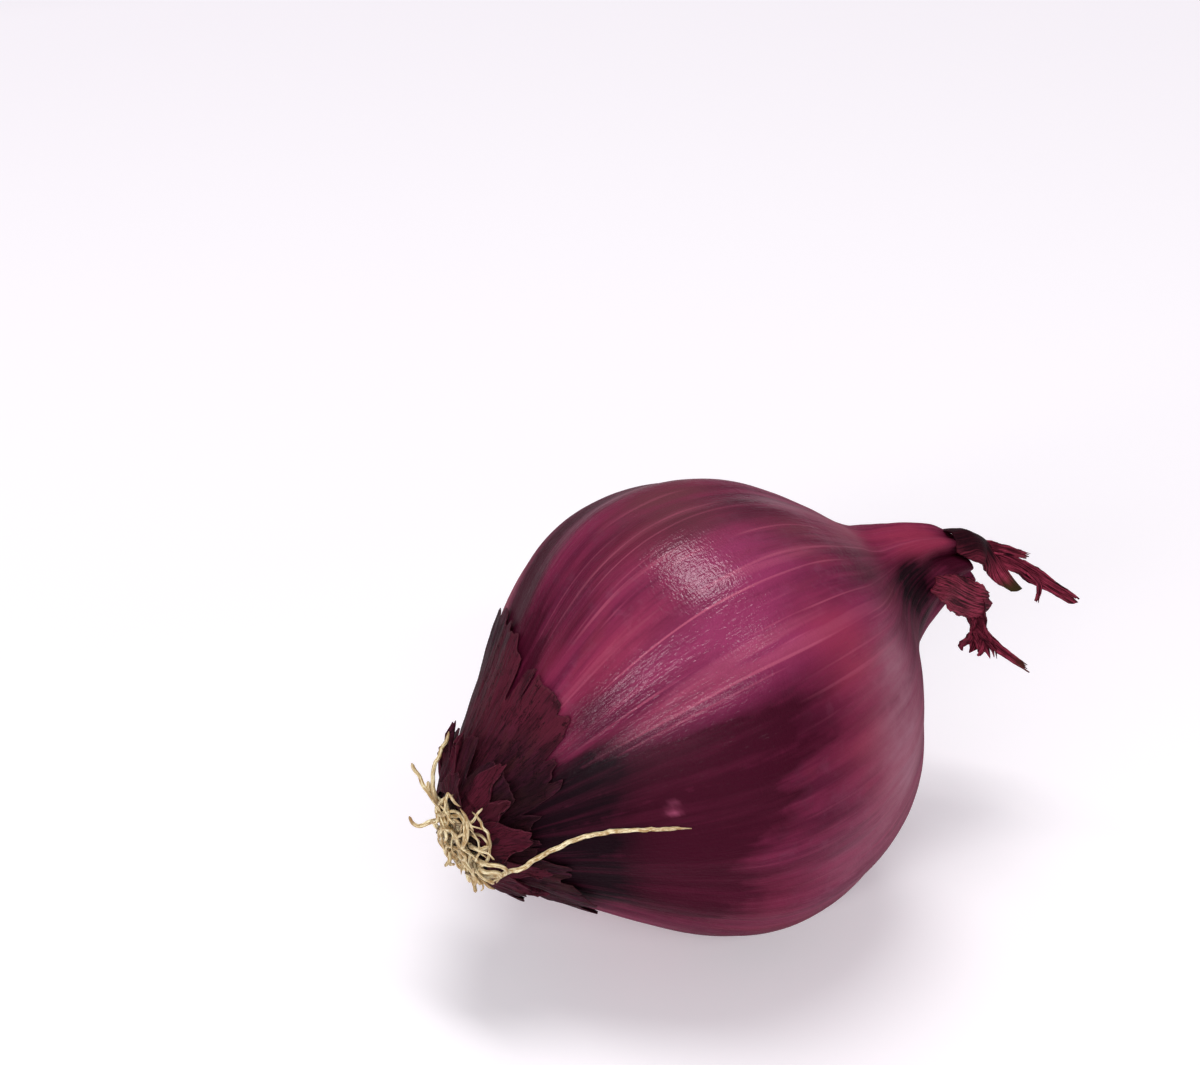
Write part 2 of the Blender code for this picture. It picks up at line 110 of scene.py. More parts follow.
def on_skin(turn, height, lift=0.0):
    """The point of the onion's skin at a turn in radians and a height, lifted square to the skin."""
    radius = outline_radius(height)
    slope = outline_radius(height + 0.5) - outline_radius(height - 0.5)
    globe = ease(-44, -20, height) * (1 - ease(20, 36, height))
    radius += RIB_DEPTH * globe * (math.cos(BULB_RIBS * turn) + math.cos((BULB_RIBS + 6) * turn + 1.3))
    neck = ease(30, 50, height)
    radius += PLEAT_DEPTH * neck * math.cos(PLEATS * turn + 0.05 * (height - 30))
    cleft = math.exp(-((math.degrees(turn) % 360 - CLEFT_TURN) / 9) ** 2)
    radius -= CLEFT_DEPTH * cleft * ease(40, 47, height)
    out = 1 / math.hypot(1, slope)
    radius += lift * out
    return Vector((
        neck_middle(height) + radius * math.cos(turn),
        radius * math.sin(turn),
        height - lift * slope * out,
    ))


def around_noise(turn, height, around, along, seed):
    """Smooth noise on the skin that repeats without a seam: features around the globe and along its height."""
    return noise.noise(Vector((around * math.cos(turn), around * math.sin(turn), along * height + seed)))


STAIN_LIMIT = 1.25


def stain(turn, height, patches):
    """How much of a stain lies at a place: its patches added up, to a limit.

    A patch is a turn in degrees, a height in millimetres, how far it spreads in each, and its strength.
    """
    total = 0.0
    for patch_turn, patch_height, turn_spread, height_spread, strength in patches:
        off = (math.degrees(turn) - patch_turn + 180) % 360 - 180
        rise = height - patch_height
        total += strength * math.exp(-(off / turn_spread) ** 2 - (rise / height_spread) ** 2)
    return min(total, STAIN_LIMIT)


# Stains of the dry scale, each a row of patches as stain() takes them. Red, magenta, brown and dusty pink lie
# under the fibre lines, the magenta partly a painted sheen round the top highlight and the dusty pink partly a
# painted sheen along the rim. Deep wine, near black and one pale pink spot lie over them: the deep wine is
# partly painted shade by the neck and on the side near turn 150, and the near black is painted shade, at the
# torn edge of the old skin, under the flap and round the root end. POLISHED is where handling has rubbed the
# scale to a gloss, and VEINED where its pink fibre lines show most
PAINTED_SHADE_BLACK = (
    (229, -27.5, 7, 5, 1.0), (242, -30, 12, 6, 1.0), (262, -33, 14, 6, 0.9), (286, -32, 18, 5, 0.9),
    (222, -33, 10, 4, 0.7), (234, 37, 16, 5, 0.8), (262, 38, 30, 6, 0.8), (300, -33, 20, 5, 0.6),
    (250, -37, 16, 5, 1.0), (0, -45, 900, 3.5, 1.0), (0, -34, 30, 5, 0.7), (90, -31, 40, 6, 0.5),
)
# Deep wine, partly the scale's own and partly painted shade: beside and under the neck, in its cleft and mouth,
# and on the side near turn 150
DEEP_WINE_AND_SHADE = (
    (243, -13, 9, 8, 1.0), (238, -22, 10, 7, 1.0), (258, -15, 10, 10, 0.95), (252, -23, 14, 6, 1.0),
    (278, -21, 14, 7, 0.85), (293, -25, 12, 5, 0.7), (243, -2, 6, 10, 0.6), (249, -1, 3.5, 14, 0.55),
    (258, -3, 3.5, 13, 0.4), (267, -6, 4, 13, 0.5), (277, -8, 4, 12, 0.4), (286, -12, 6, 10, 0.4),
    (237, -4, 3, 10, 0.6), (154, -22, 10, 9, 0.95), (150, -6, 8, 16, 0.7), (184, 13, 9, 5, 0.5),
    (211, 25, 12, 5, 0.5), (240, 30, 24, 5, 0.6), (186, -20, 7, 5, 0.35), (176, -12, 12, 14, 0.4),
    (214, -25, 9, 4, 0.5), (186, 0, 5, 9, 0.3), (168, -26, 12, 7, 1.0), (179, -28, 8, 4, 0.8),
    (233, 3, 4, 8, 0.35), (20, 6, 14, 18, 0.7), (76, -6, 12, 22, 0.7), (120, 4, 10, 16, 0.6),
    (330, -8, 14, 16, 0.6), (300, -20, 14, 10, 0.6), (216, 52.5, 44, 2.4, 1.0), (236, 46, 10, 7, 0.9),
    (252, 50, 16, 5, 1.0), (276, -28, 18, 5, 0.6),
)
BROWN = (
    (171, 4, 10, 8, 0.8), (186, 3, 7, 7, 0.4), (196, 17, 9, 5, 0.5), (286, -22, 18, 8, 0.35),
    (228, -27, 6, 3, 0.3), (150, 14, 14, 10, 0.6), (330, 0, 30, 20, 0.4), (60, 20, 40, 8, 0.6),
    (110, -18, 20, 8, 0.5),
)
# Magenta, partly the scale's own and partly a painted sheen round the top highlight
MAGENTA_AND_SHEEN = (
    (219, -3, 7, 8, 0.7), (203, 3, 9, 9, 0.5), (227, 3, 7, 7, 0.5), (214, -13, 7, 7, 0.35),
    (208, 4, 8, 9, 0.45), (226, 20, 10, 6, 0.35), (198, 6, 8, 7, 0.4), (232, -10, 4, 12, 0.4),
    (100, 8, 22, 14, 0.6), (40, -5, 24, 14, 0.6),
)
RED = (
    (226, 8, 6, 8, 0.7), (235, 12, 8, 7, 0.9), (184, -25, 7, 4, 0.6), (183, -4, 7, 9, 0.5),
    (206, 44, 34, 7, 1.0), (268, 15, 16, 7, 0.7), (204, -18, 6, 12, 0.45), (254, 8, 7, 7, 0.5),
    (288, -12, 12, 6, 0.3), (190, 30, 20, 6, 0.4), (70, 0, 14, 12, 0.6), (130, -16, 12, 10, 0.6),
    (20, -16, 12, 10, 0.5),
)
# Dusty pink, partly the scale's own and partly a painted sheen along the rim
DUST_AND_RIM_SHEEN = ((266, 17, 18, 7, 0.8), (246, 21, 10, 5, 0.5), (284, 6, 16, 10, 0.3), (100, 20, 30, 8, 0.4))
SPOT = ((252, -21, 1.1, 0.7, 0.7), (249.5, -20.5, 0.8, 0.5, 0.4))
PALE_STAINS = (
    ("red", RED, "94304C"), ("magenta", MAGENTA_AND_SHEEN, "8C2E58"),
    ("brown", BROWN, "6E3440"), ("dusty", DUST_AND_RIM_SHEEN, "A0687A"),
)
DARK_STAINS = (("deep", DEEP_WINE_AND_SHADE, "3A061A"), ("black", PAINTED_SHADE_BLACK, "0E0206"), ("spot", SPOT, "A85070"))
POLISHED = ((200, 2, 34, 22, 1.0), (214, -18, 16, 9, 0.9), (40, 0, 50, 20, 0.7))
VEINED = ((194, -14, 20, 18, 1.0), (212, 4, 22, 20, 0.8), (222, -22, 8, 8, 0.7), (60, 0, 60, 20, 0.8))


def linear(hex_code):
    """An sRGB hex colour as linear values."""
    levels = [int(hex_code[at:at + 2], 16) / 255 for at in (0, 2, 4)]
    return [level / 12.92 if level < 0.04045 else ((level + 0.055) / 1.055) ** 2.4 for level in levels] + [1.0]


def add_node(material, kind, inputs=None, out=0, **settings):
    """Adds a node with its settings, and gives its output. An input is a value or the output that feeds it."""
    node = material.node_tree.nodes.new("ShaderNode" + kind)
    for name, value in settings.items():
        setattr(node, name, value)
    for name, value in (inputs or {}).items():
        if isinstance(value, bpy.types.NodeSocket):
            material.node_tree.links.new(value, node.inputs[name])
        else:
            node.inputs[name].default_value = value
    return node.outputs[out]


def new_material(name):
    """A node material with its plain shader, and the material's links."""
    material = bpy.data.materials.new(name)
    material.use_nodes = True
    return material, material.node_tree.nodes["Principled BSDF"], material.node_tree.links


# Dry onion scale: one thin, papery layer, pigmented along its fibres and polished by drying and handling.
# It shows a deep wine red in streaks, with darker and paler stains and pink fibre lines, and a satin gloss that
# its cells break up. Some of the darker stains are painted shade, and some of the paler ones a painted sheen.
# Light that its red cells scatter back tints the gloss.
scale, shader, links = new_material("dry_onion_scale")
fibres = add_node(scale, "Attribute", out="Vector", attribute_name="fibre")
place = add_node(scale, "TexCoord", out="Object")
fibre_noise = {}
for name, across, along, detail in (
    ("fine", 62.0, 5.0, 3.0), ("streak", 15.0, 1.5, 3.0), ("broad", 4.2, 2.2, 3.0), ("wander", 6.0, 0.5, 2.0),
    ("strands", 100.0, 24.0, 1.0), ("cells", 44.0, 96.0, 1.0), ("tears", 9.0, 2.0, 3.0),
    ("fading_0", 12.0, 0.9, 2.0), ("fading_1", 19.0, 1.3, 2.0),
):
    stretched = add_node(
        scale,
        "Mapping",
        {"Vector": fibres, "Scale": (across, across, along), "Location": (len(name), 2.0, 0.7)},
    )
    fibre_noise[name] = add_node(
        scale, "TexNoise", {"Vector": stretched, "Scale": 1.0, "Detail": detail, "Roughness": 0.6}
    )
blotches = add_node(scale, "TexNoise", {"Vector": place, "Scale": 420.0, "Detail": 4.0, "Roughness": 0.65})
colour = linear("601838")
for value, low, high, most, hex_code in (
    (fibre_noise["streak"], 0.34, 0.66, 1.0, "84294C"),
    (fibre_noise["broad"], 0.48, 0.7, 0.5, "4A0C27"),
    (fibre_noise["broad"], 0.46, 0.3, 0.4, "883244"),
    (blotches, 0.48, 0.72, 0.5, "80405A"),
    (fibre_noise["fine"], 0.52, 0.78, 0.34, "28081C"),
    (fibre_noise["fine"], 0.46, 0.22, 0.26, "A04468"),
):
    limits = {"Value": value, "From Min": low, "From Max": high, "To Max": most}
    share = add_node(scale, "MapRange", limits, interpolation_type="SMOOTHSTEP")
    colour = add_node(scale, "Mix", {0: share, 6: colour, 7: linear(hex_code)}, out=2, data_type="RGBA")

# Each stain is drawn out along the fibres, and broken up by tears and blotches
limits = {"Value": fibre_noise["tears"], "From Min": 0.3, "From Max": 0.7, "To Min": 0.15, "To Max": 1.4}
torn = add_node(scale, "MapRange", limits)
torn = add_node(scale, "Math", {0: blotches, 1: 0.9, 2: torn}, operation="MULTIPLY_ADD")
for name, _, hex_code in PALE_STAINS:
    amount = add_node(scale, "Attribute", out="Fac", attribute_name=name)
    here = add_node(scale, "Math", {0: amount, 1: torn}, operation="MULTIPLY", use_clamp=True)
    colour = add_node(scale, "Mix", {0: here, 6: colour, 7: linear(hex_code)}, out=2, data_type="RGBA")

# Pink fibre lines stand 8 mm and 3 mm apart at the widest place, with broad bands 14 mm apart under them.
# They wander a little, and fade in and out
across_x = add_node(scale, "SeparateXYZ", {0: fibres}, out="X")
across_y = add_node(scale, "SeparateXYZ", {0: fibres}, out="Y")
turn_round = add_node(scale, "Math", {0: across_y, 1: across_x}, operation="ARCTAN2")
veined = add_node(scale, "Attribute", out="Fac", attribute_name="veined")
bend = add_node(scale, "Math", {0: fibre_noise["wander"], 1: 5.0}, operation="MULTIPLY")
for number, (lines, sharp, strength) in enumerate(((31.0, 0.94, 0.72), (73.0, 0.88, 0.55), (17.0, 0.3, 0.34))):
    phase = add_node(scale, "Math", {0: turn_round, 1: lines, 2: bend}, operation="MULTIPLY_ADD")
    wave = add_node(scale, "Math", {0: phase}, operation="COSINE")
    line = add_node(scale, "MapRange", {"Value": wave, "From Min": sharp}, interpolation_type="SMOOTHSTEP")
    fading = fibre_noise[f"fading_{number % 2}"]
    limits = {"Value": fading, "From Min": 0.47, "From Max": 0.6, "To Max": strength}
    seen = add_node(scale, "MapRange", limits, interpolation_type="SMOOTHSTEP")
    vein = add_node(scale, "Math", {0: line, 1: seen}, operation="MULTIPLY")
    vein = add_node(scale, "Math", {0: vein, 1: veined}, operation="MULTIPLY")
    colour = add_node(scale, "Mix", {0: vein, 6: colour, 7: linear("C4627C")}, out=2, data_type="RGBA")

# The dark stains lie over the fibre lines, and are less broken up: deep wine that is partly painted shade, near
# black that is painted shade, and the pale spot. Thin, paler streaks run through them
for name, _, hex_code in DARK_STAINS:
    amount = add_node(scale, "Attribute", out="Fac", attribute_name=name)
    whole = add_node(scale, "Math", {0: torn, 1: 0.7, 2: 0.3}, operation="MULTIPLY_ADD")
    here = add_node(scale, "Math", {0: amount, 1: whole}, operation="MULTIPLY", use_clamp=True)
    colour = add_node(scale, "Mix", {0: here, 6: colour, 7: linear(hex_code)}, out=2, data_type="RGBA")
limits = {"Value": fibre_noise["streak"], "From Min": 0.5, "From Max": 0.7, "To Max": 0.14}
paler = add_node(scale, "MapRange", limits)
colour = add_node(scale, "Mix", {0: paler, 6: colour, 7: linear("7E2848")}, out=2, data_type="RGBA")
links.new(colour, shader.inputs["Base Color"])

# Cells of the scale are about 0.1 by 0.4 mm, too fine to show, so they are drawn coarser: strands 0.4 mm wide
# and 1.6 mm long, crossed by others 0.9 mm wide and 0.4 mm long
relief = add_node(
    scale, "Math", {0: fibre_noise["strands"], 1: 1.0, 2: fibre_noise["cells"]}, operation="MULTIPLY_ADD"
)
relief = add_node(scale, "Math", {0: fibre_noise["tears"], 1: 3.0, 2: relief}, operation="MULTIPLY_ADD")
bumped = add_node(scale, "Bump", {"Strength": 1.0, "Distance": 0.000075, "Height": relief})
links.new(bumped, shader.inputs["Normal"])
polished = add_node(scale, "Attribute", out="Fac", attribute_name="polished")
dull = add_node(scale, "MapRange", {"Value": polished, "To Min": 0.6, "To Max": 0.15})
gloss = add_node(scale, "Math", {0: blotches, 1: 0.2, 2: dull}, operation="MULTIPLY_ADD")
links.new(gloss, shader.inputs["Roughness"])
shader.inputs["IOR"].default_value = 1.25
shader.inputs["Specular IOR Level"].default_value = 0.35
shader.inputs["Specular Tint"].default_value = linear("FFB8E2")

# Wax rubbed to a polish lies over the middle of the globe
wax = add_node(scale, "Math", {0: polished, 1: 0.5}, operation="MULTIPLY")
links.new(wax, shader.inputs["Coat Weight"])
links.new(bumped, shader.inputs["Coat Normal"])
shader.inputs["Coat Roughness"].default_value = 0.22


def fibre_place(turn, height):
    """Where a point lies along and across the fibres: on a circle of one across, and in globe radii along."""
    return Vector((math.cos(turn), math.sin(turn), height / GLOBE_RADIUS))


def lay_down(tool, name, material, node):
    """Turns an upright millimetre shape into a finished piece of the lying onion."""
    bmesh.ops.transform(tool, matrix=LAID_DOWN, verts=tool.verts)
    mesh = bpy.data.meshes.new(name)
    tool.to_mesh(mesh)
    tool.free()
    mesh.materials.append(material)
    mesh.shade_smooth()
    piece = bpy.data.objects.new(name, mesh)
    bpy.context.scene.collection.objects.link(piece)
    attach(piece, "root")
    if node:
        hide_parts(node)
    return piece


tool = bmesh.new()
rings = []
for ring in range(GLOBE_RINGS + 1):
    share = ring / GLOBE_RINGS
    height = ROOT_END + (NECK_END - ROOT_END) * share
    rings.append((outline_radius(height), height))
mouth_radius = outline_radius(NECK_END)
rings += [(mouth_radius - inward, NECK_END + rise) for inward, rise in MOUTH_LIP]
profile = [tool.verts.new((0, 0, ROOT_END))]
profile += [tool.verts.new((radius, 0, height)) for radius, height in rings]
profile.append(tool.verts.new((0, 0, NECK_END - MOUTH_DEPTH)))
lines = [tool.edges.new(pair) for pair in zip(profile, profile[1:])]
bmesh.ops.spin(
    tool,
    geom=profile + lines,
    axis=(0, 0, 1),
    cent=(0, 0, 0),
    angle=math.tau,
    steps=GLOBE_SEGMENTS,
    use_merge=True,
)
bmesh.ops.remove_doubles(tool, verts=tool.verts, dist=0.001)
fibre_layer = tool.verts.layers.float_vector.new("fibre")
for name in ("veined", "polished", *(name for name, _, _ in PALE_STAINS + DARK_STAINS)):
    tool.verts.layers.float.new(name)
for vert in tool.verts:
    x, y, height = vert.co
    reach = math.hypot(x, y)
    turn = math.atan2(y, x) if reach > 0.01 else 0.0
    vert[fibre_layer] = fibre_place(turn, height)
    vert[tool.verts.layers.float["polished"]] = stain(turn, height, POLISHED)
    for name, patches, _ in PALE_STAINS + DARK_STAINS:
        vert[tool.verts.layers.float[name]] = stain(turn, height, patches)
    lines_shown = 0.25 + 0.75 * stain(turn, height, VEINED)
    vert[tool.verts.layers.float["veined"]] = lines_shown * ease(-38, -20, height)
    if reach < 0.01:
        vert.co = (neck_middle(height), 0, height) if height > 0 else (0, 0, height)
        continue
    swell = 0.10 * around_noise(turn, height, 3.0, 0.09, 4.0)
    swell += 0.05 * around_noise(turn, height, 9.0, 0.12, 8.0)
    swell *= 1 - ease(30, 44, height)
    place = on_skin(turn, min(height, NECK_END), swell)
    ragged = MOUTH_TEETH * around_noise(turn, 0, 2.2, 0, 3.3) * ease(NECK_END - 4, NECK_END, height)
    axis = Vector((neck_middle(height), 0, place.z))
    rim_radius = outline_radius(min(height, NECK_END))
    inner = reach / rim_radius if reach < rim_radius - 0.05 else 1.0
    vert.co = axis + (place - axis) * inner
    vert.co.z = (height if inner < 1 else vert.co.z) + ragged
bmesh.ops.recalc_face_normals(tool, faces=tool.faces)

# It rests on a small flat, cut square to the floor
dip = math.radians(ROOT_END_DIP)
below = Vector((math.cos(dip), 0, -math.sin(dip)))
cut = bmesh.ops.bisect_plane(
    tool,
    geom=tool.verts[:] + tool.edges[:] + tool.faces[:],
    dist=0.0001,
    plane_co=below * REST_HEIGHT,
    plane_no=below,
    clear_outer=True,
)
rim = [part for part in cut["geom_cut"] if isinstance(part, bmesh.types.BMEdge)]
bmesh.ops.edgeloop_fill(tool, edges=rim)
bmesh.ops.recalc_face_normals(tool, faces=tool.faces)
lay_down(tool, "bulb_scale", scale, "bulb")

# Old skin
# The real piece is what is left of the outermost dry scale: a torn cup round the root end, dull and brittle.
# It grew from the root plate, so it starts there, hugs the bulb, and curls off it at its torn edge.
OLD_SKIN_EDGE = (
    (0, -30.5), (9, -29.0), (18, -31.5), (27, -27.0), (36, -26.0), (42, -31.0), (48, -27.5), (63, -24.5),
    (75, -23.0), (84, -27.5), (93, -22.5), (108, -21.0), (123, -20.5), (138, -21.5), (156, -23.0), (168, -25.0),
    (174, -26.0), (177, -31.2), (180, -27.0), (198, -26.9), (213, -27.2), (216, -31.0), (228, -32.3),
    (231, -33.0), (234, -38.2), (240, -35.5), (246, -37.3), (258, -36.8), (267, -37.6), (273, -35.2),
    (282, -35.6), (291, -34.3), (300, -31.9), (306, -32.4), (312, -34.8), (318, -35.6), (327, -32.0),
    (339, -28.5), (348, -33.5), (354, -29.5), (360, -30.5),
)
OLD_SKIN_FOOT = -43.4
OLD_SKIN_COLUMNS = 420
OLD_SKIN_ROWS = 36
PAPER_THICKNESS = 0.14
SLIT_DEPTH = 16

# Patches, as stain() takes them, where painted shade darkens the old skin, and where it is still red
SHADED = (
    (222, -36, 12, 4, 0.7), (236, -40, 14, 4, 0.7), (262, -40, 14, 3, 0.6), (190, -40, 12, 3, 0.5),
    (200, -34, 3, 6, 0.5),
)
STILL_RED = (
    (206, -28, 20, 4.5, 1.0), (184, -28, 12, 6, 0.9), (160, -30, 20, 10, 0.7), (60, -26, 30, 5, 0.6),
)


def between(points, value):
    """The second number of a row of pairs at a value of the first, in straight steps."""
    for (a, low), (b, high) in zip(points, points[1:]):
        if value <= b:
            return low + (high - low) * (value - a) / (b - a)
    return points[-1][1]


# Weathered outer scale: the same papery layer, bleached, dusty and cracked by drying.
# It shows a dull brown purple with fine dark cracks, a redder foot, pale torn edges and patches of painted
# shade, and almost no gloss.
old_scale, shader, links = new_material("weathered_onion_scale")
fibres = add_node(old_scale, "Attribute", out="Vector", attribute_name="fibre")
torn_edge = add_node(old_scale, "Attribute", out="Fac", attribute_name="torn_edge")
redness = add_node(old_scale, "Attribute", out="Fac", attribute_name="redness")
shaded = add_node(old_scale, "Attribute", out="Fac", attribute_name="shaded")
place = add_node(old_scale, "TexCoord", out="Object")
fibre_noise = {}
for name, across, along in (("fine", 70.0, 14.0), ("streak", 20.0, 8.0), ("broad", 8.0, 9.0)):
    stretched = add_node(old_scale, "Mapping", {"Vector": fibres, "Scale": (across, across, along)})
    fibre_noise[name] = add_node(
        old_scale, "TexNoise", {"Vector": stretched, "Scale": 1.0, "Detail": 3.0, "Roughness": 0.62}
    )
blotches = add_node(old_scale, "TexNoise", {"Vector": place, "Scale": 500.0, "Detail": 4.0, "Roughness": 0.7})

# Dark cracks run where a broad noise crosses its middle value
stretched = add_node(
    old_scale, "Mapping", {"Vector": fibres, "Scale": (13.0, 13.0, 7.0), "Location": (3.0, 1.0, 5.0)}
)
crazing = add_node(old_scale, "TexNoise", {"Vector": stretched, "Scale": 1.0, "Detail": 4.0, "Roughness": 0.6})
crazing = add_node(old_scale, "Math", {0: crazing, 1: 0.5}, operation="SUBTRACT")
crazing = add_node(old_scale, "Math", {0: crazing}, operation="ABSOLUTE")
limits = {"Value": crazing, "From Min": 0.004, "From Max": 0.016, "To Min": 1.0, "To Max": 0.0}
crack = add_node(old_scale, "MapRange", limits)
colour = linear("241016")
for value, low, high, most, hex_code in (
    (fibre_noise["streak"], 0.35, 0.7, 1.0, "40182A"),
    (fibre_noise["broad"], 0.45, 0.65, 0.8, "321A1B"),
    (blotches, 0.5, 0.75, 0.5, "4E1428"),
    (redness, 0.1, 1.1, 0.85, "541A2A"),
    (shaded, 0.0, 1.0, 0.7, "12060A"),
    (fibre_noise["fine"], 0.5, 0.72, 0.7, "0C0407"),
    (crack, 0.0, 1.0, 0.75, "0A0305"),
    (fibre_noise["broad"], 0.5, 0.3, 0.6, "180A0E"),
    (torn_edge, 0.975, 1.0, 0.2, "6A3A44"),
):
    limits = {"Value": value, "From Min": low, "From Max": high, "To Max": most}
    share = add_node(old_scale, "MapRange", limits, interpolation_type="SMOOTHSTEP")
    colour = add_node(old_scale, "Mix", {0: share, 6: colour, 7: linear(hex_code)}, out=2, data_type="RGBA")
links.new(colour, shader.inputs["Base Color"])
relief = add_node(old_scale, "Math", {0: fibre_noise["fine"], 1: 0.9, 2: blotches}, operation="MULTIPLY_ADD")
relief = add_node(old_scale, "Math", {0: fibre_noise["streak"], 1: 1.2, 2: relief}, operation="MULTIPLY_ADD")
relief = add_node(old_scale, "Math", {0: fibre_noise["broad"], 1: 4.0, 2: relief}, operation="MULTIPLY_ADD")
relief = add_node(old_scale, "Math", {0: crack, 1: -0.5, 2: relief}, operation="MULTIPLY_ADD")
bumped = add_node(old_scale, "Bump", {"Strength": 0.6, "Distance": 0.0003, "Height": relief})
links.new(bumped, shader.inputs["Normal"])
gloss = add_node(old_scale, "Math", {0: blotches, 1: 0.2, 2: 0.55}, operation="MULTIPLY_ADD")
links.new(gloss, shader.inputs["Roughness"])
shader.inputs["IOR"].default_value = 1.25
shader.inputs["Specular IOR Level"].default_value = 0.3
shader.inputs["Specular Tint"].default_value = linear("FFC4D8")


def old_skin_place(around, up):
    """A point of the old skin, at a share of the way round it and from its foot up to its torn edge.

    The edge has fine teeth, longer tongues and deep slits. It curls off the bulb, most of all beneath.
    """
    turn = math.radians(360 * around)
    edge = between(OLD_SKIN_EDGE, 360 * around % 360)
    edge += 0.9 * around_noise(turn, 0, 8, 0, 2.3) + 0.16 * around_noise(turn, 0, 64, 0, 1.9)
    edge += 1.2 * min(max(4 * around_noise(turn, 0, 10, 0, 6.1), -0.5), 0.5)
    slit = max(around_noise(turn, 0, 19, 0, 4.6) - 0.42, 0)
    edge -= SLIT_DEPTH * slit
    height = OLD_SKIN_FOOT + (edge - OLD_SKIN_FOOT) * up
    fold = noise.noise(Vector((3 * math.cos(turn), 3 * math.sin(turn), height * 0.05)))
    curl = (0.25 + 0.8 * abs(fold)) * ease(0.7, 1.0, up)
    curl += 0.45 * max(around_noise(turn, 0, 14, 0, 7.7), 0) * ease(0.6, 1.0, up)
    beneath = math.exp(-((360 * around - 300) / 12) ** 2)
    curl += 1.3 * beneath * ease(0.2, 0.9, up)
    wrinkle = 0.16 * around_noise(turn, height, 16, 0.25, 2.0)
    wrinkle += 0.08 * around_noise(turn, height, 36, 0.5, 5.0)
    return on_skin(turn, height, 0.2 + 0.7 * curl + wrinkle * ease(0.0, 0.25, up))


def skin_sheet(columns, rows, place, foot_redness):
    """A ring of thin scale round the root end, of the points that place() gives.

    Each point keeps its place on the fibres, its share from foot to edge, its redness and its shade.
    """
    tool = bmesh.new()
    bmesh.ops.create_grid(tool, x_segments=columns, y_segments=rows, size=0.5)
    fibre_layer = tool.verts.layers.float_vector.new("fibre")
    edge_layer = tool.verts.layers.float.new("torn_edge")
    red_layer = tool.verts.layers.float.new("redness")
    shade_layer = tool.verts.layers.float.new("shaded")
    for vert in tool.verts:
        around, up = vert.co.x + 0.5, vert.co.y + 0.5
        vert.co = place(around, up)
        vert[fibre_layer] = fibre_place(math.tau * around, vert.co.z)
        fresh = stain(math.tau * around, vert.co.z, STILL_RED)
        vert[shade_layer] = stain(math.tau * around, vert.co.z, SHADED)
        vert[red_layer] = foot_redness * (1 - ease(0.0, 0.8, up)) + 0.3 * foot_redness + fresh
        vert[edge_layer] = up
    bmesh.ops.remove_doubles(tool, verts=tool.verts, dist=0.0005)
    bmesh.ops.recalc_face_normals(tool, faces=tool.faces)
    face = tool.faces[0]
    centre = face.calc_center_median()
    if face.normal.dot(centre - Vector((0, 0, centre.z))) < 0:
        bmesh.ops.reverse_faces(tool, faces=tool.faces)
    return tool


def paper_wall(piece, thickness=PAPER_THICKNESS, offset=1.0):
    """Gives a sheet its thickness in millimetres: outwards at an offset of 1, and to both sides at 0."""
    wall = piece.modifiers.new("wall", "SOLIDIFY")
    wall.thickness = thickness * MM
    wall.offset = offset


tool = skin_sheet(OLD_SKIN_COLUMNS, OLD_SKIN_ROWS, old_skin_place, 0.5)
paper_wall(lay_down(tool, "torn_outer_scale", old_scale, "old_skin"))

# Collar
# The real piece is the stub of the same outer scale round the root plate, torn into short lobes that dried
# and curled. It is redder than the cup, because less light has reached it, and loose flakes of it stand off.
COLLAR_EDGE = (
    (0, -39.5), (12, -37.8), (20, -41.5), (28, -38.0), (44, -37.0), (56, -38.4), (64, -41.8), (72, -38.5),
    (92, -36.4), (104, -37.6), (112, -41.6), (124, -38.2), (140, -37.2), (152, -36.6), (160, -40.6),
    (168, -37.0), (180, -36.2), (188, -40.9), (196, -37.1), (212, -36.6), (224, -37.0), (232, -41.4),
    (240, -41.0), (264, -41.6), (284, -41.4), (296, -40.4), (312, -39.4), (324, -42.0), (336, -38.4),
    (348, -38.0), (360, -39.5),
)
COLLAR_FOOT = -43.9
COLLAR_COLUMNS = 360
COLLAR_ROWS = 18
COLLAR_LIFT = 0.95
COLLAR_THICKNESS = 0.2
FLAKE_THICKNESS = 0.16


def collar_place(around, up):
    """A point of the collar, at a share of the way round it and from its foot up to its torn edge."""
    turn = math.radians(360 * around)
    edge = between(COLLAR_EDGE, 360 * around % 360)
    edge += 0.6 * around_noise(turn, 0, 14, 0, 4.1) + 0.12 * around_noise(turn, 0, 60, 0, 9.9)
    height = COLLAR_FOOT + (edge - COLLAR_FOOT) * up
    length = edge - COLLAR_FOOT
    curl = 0.09 * length * ease(0.3, 1.0, up)
    curl += 0.5 * max(around_noise(turn, 0, 9, 0, 2.6), 0) * ease(0.4, 1.0, up)
    wrinkle = 0.2 * around_noise(turn, height, 14, 0.3, 3.0)
    wrinkle += 0.1 * around_noise(turn, height, 30, 0.6, 8.0)
    return on_skin(turn, height, COLLAR_LIFT + curl + wrinkle)


tool = skin_sheet(COLLAR_COLUMNS, COLLAR_ROWS, collar_place, 0.7)
paper_wall(lay_down(tool, "scale_stub_lobes", old_scale, "collar"), COLLAR_THICKNESS)

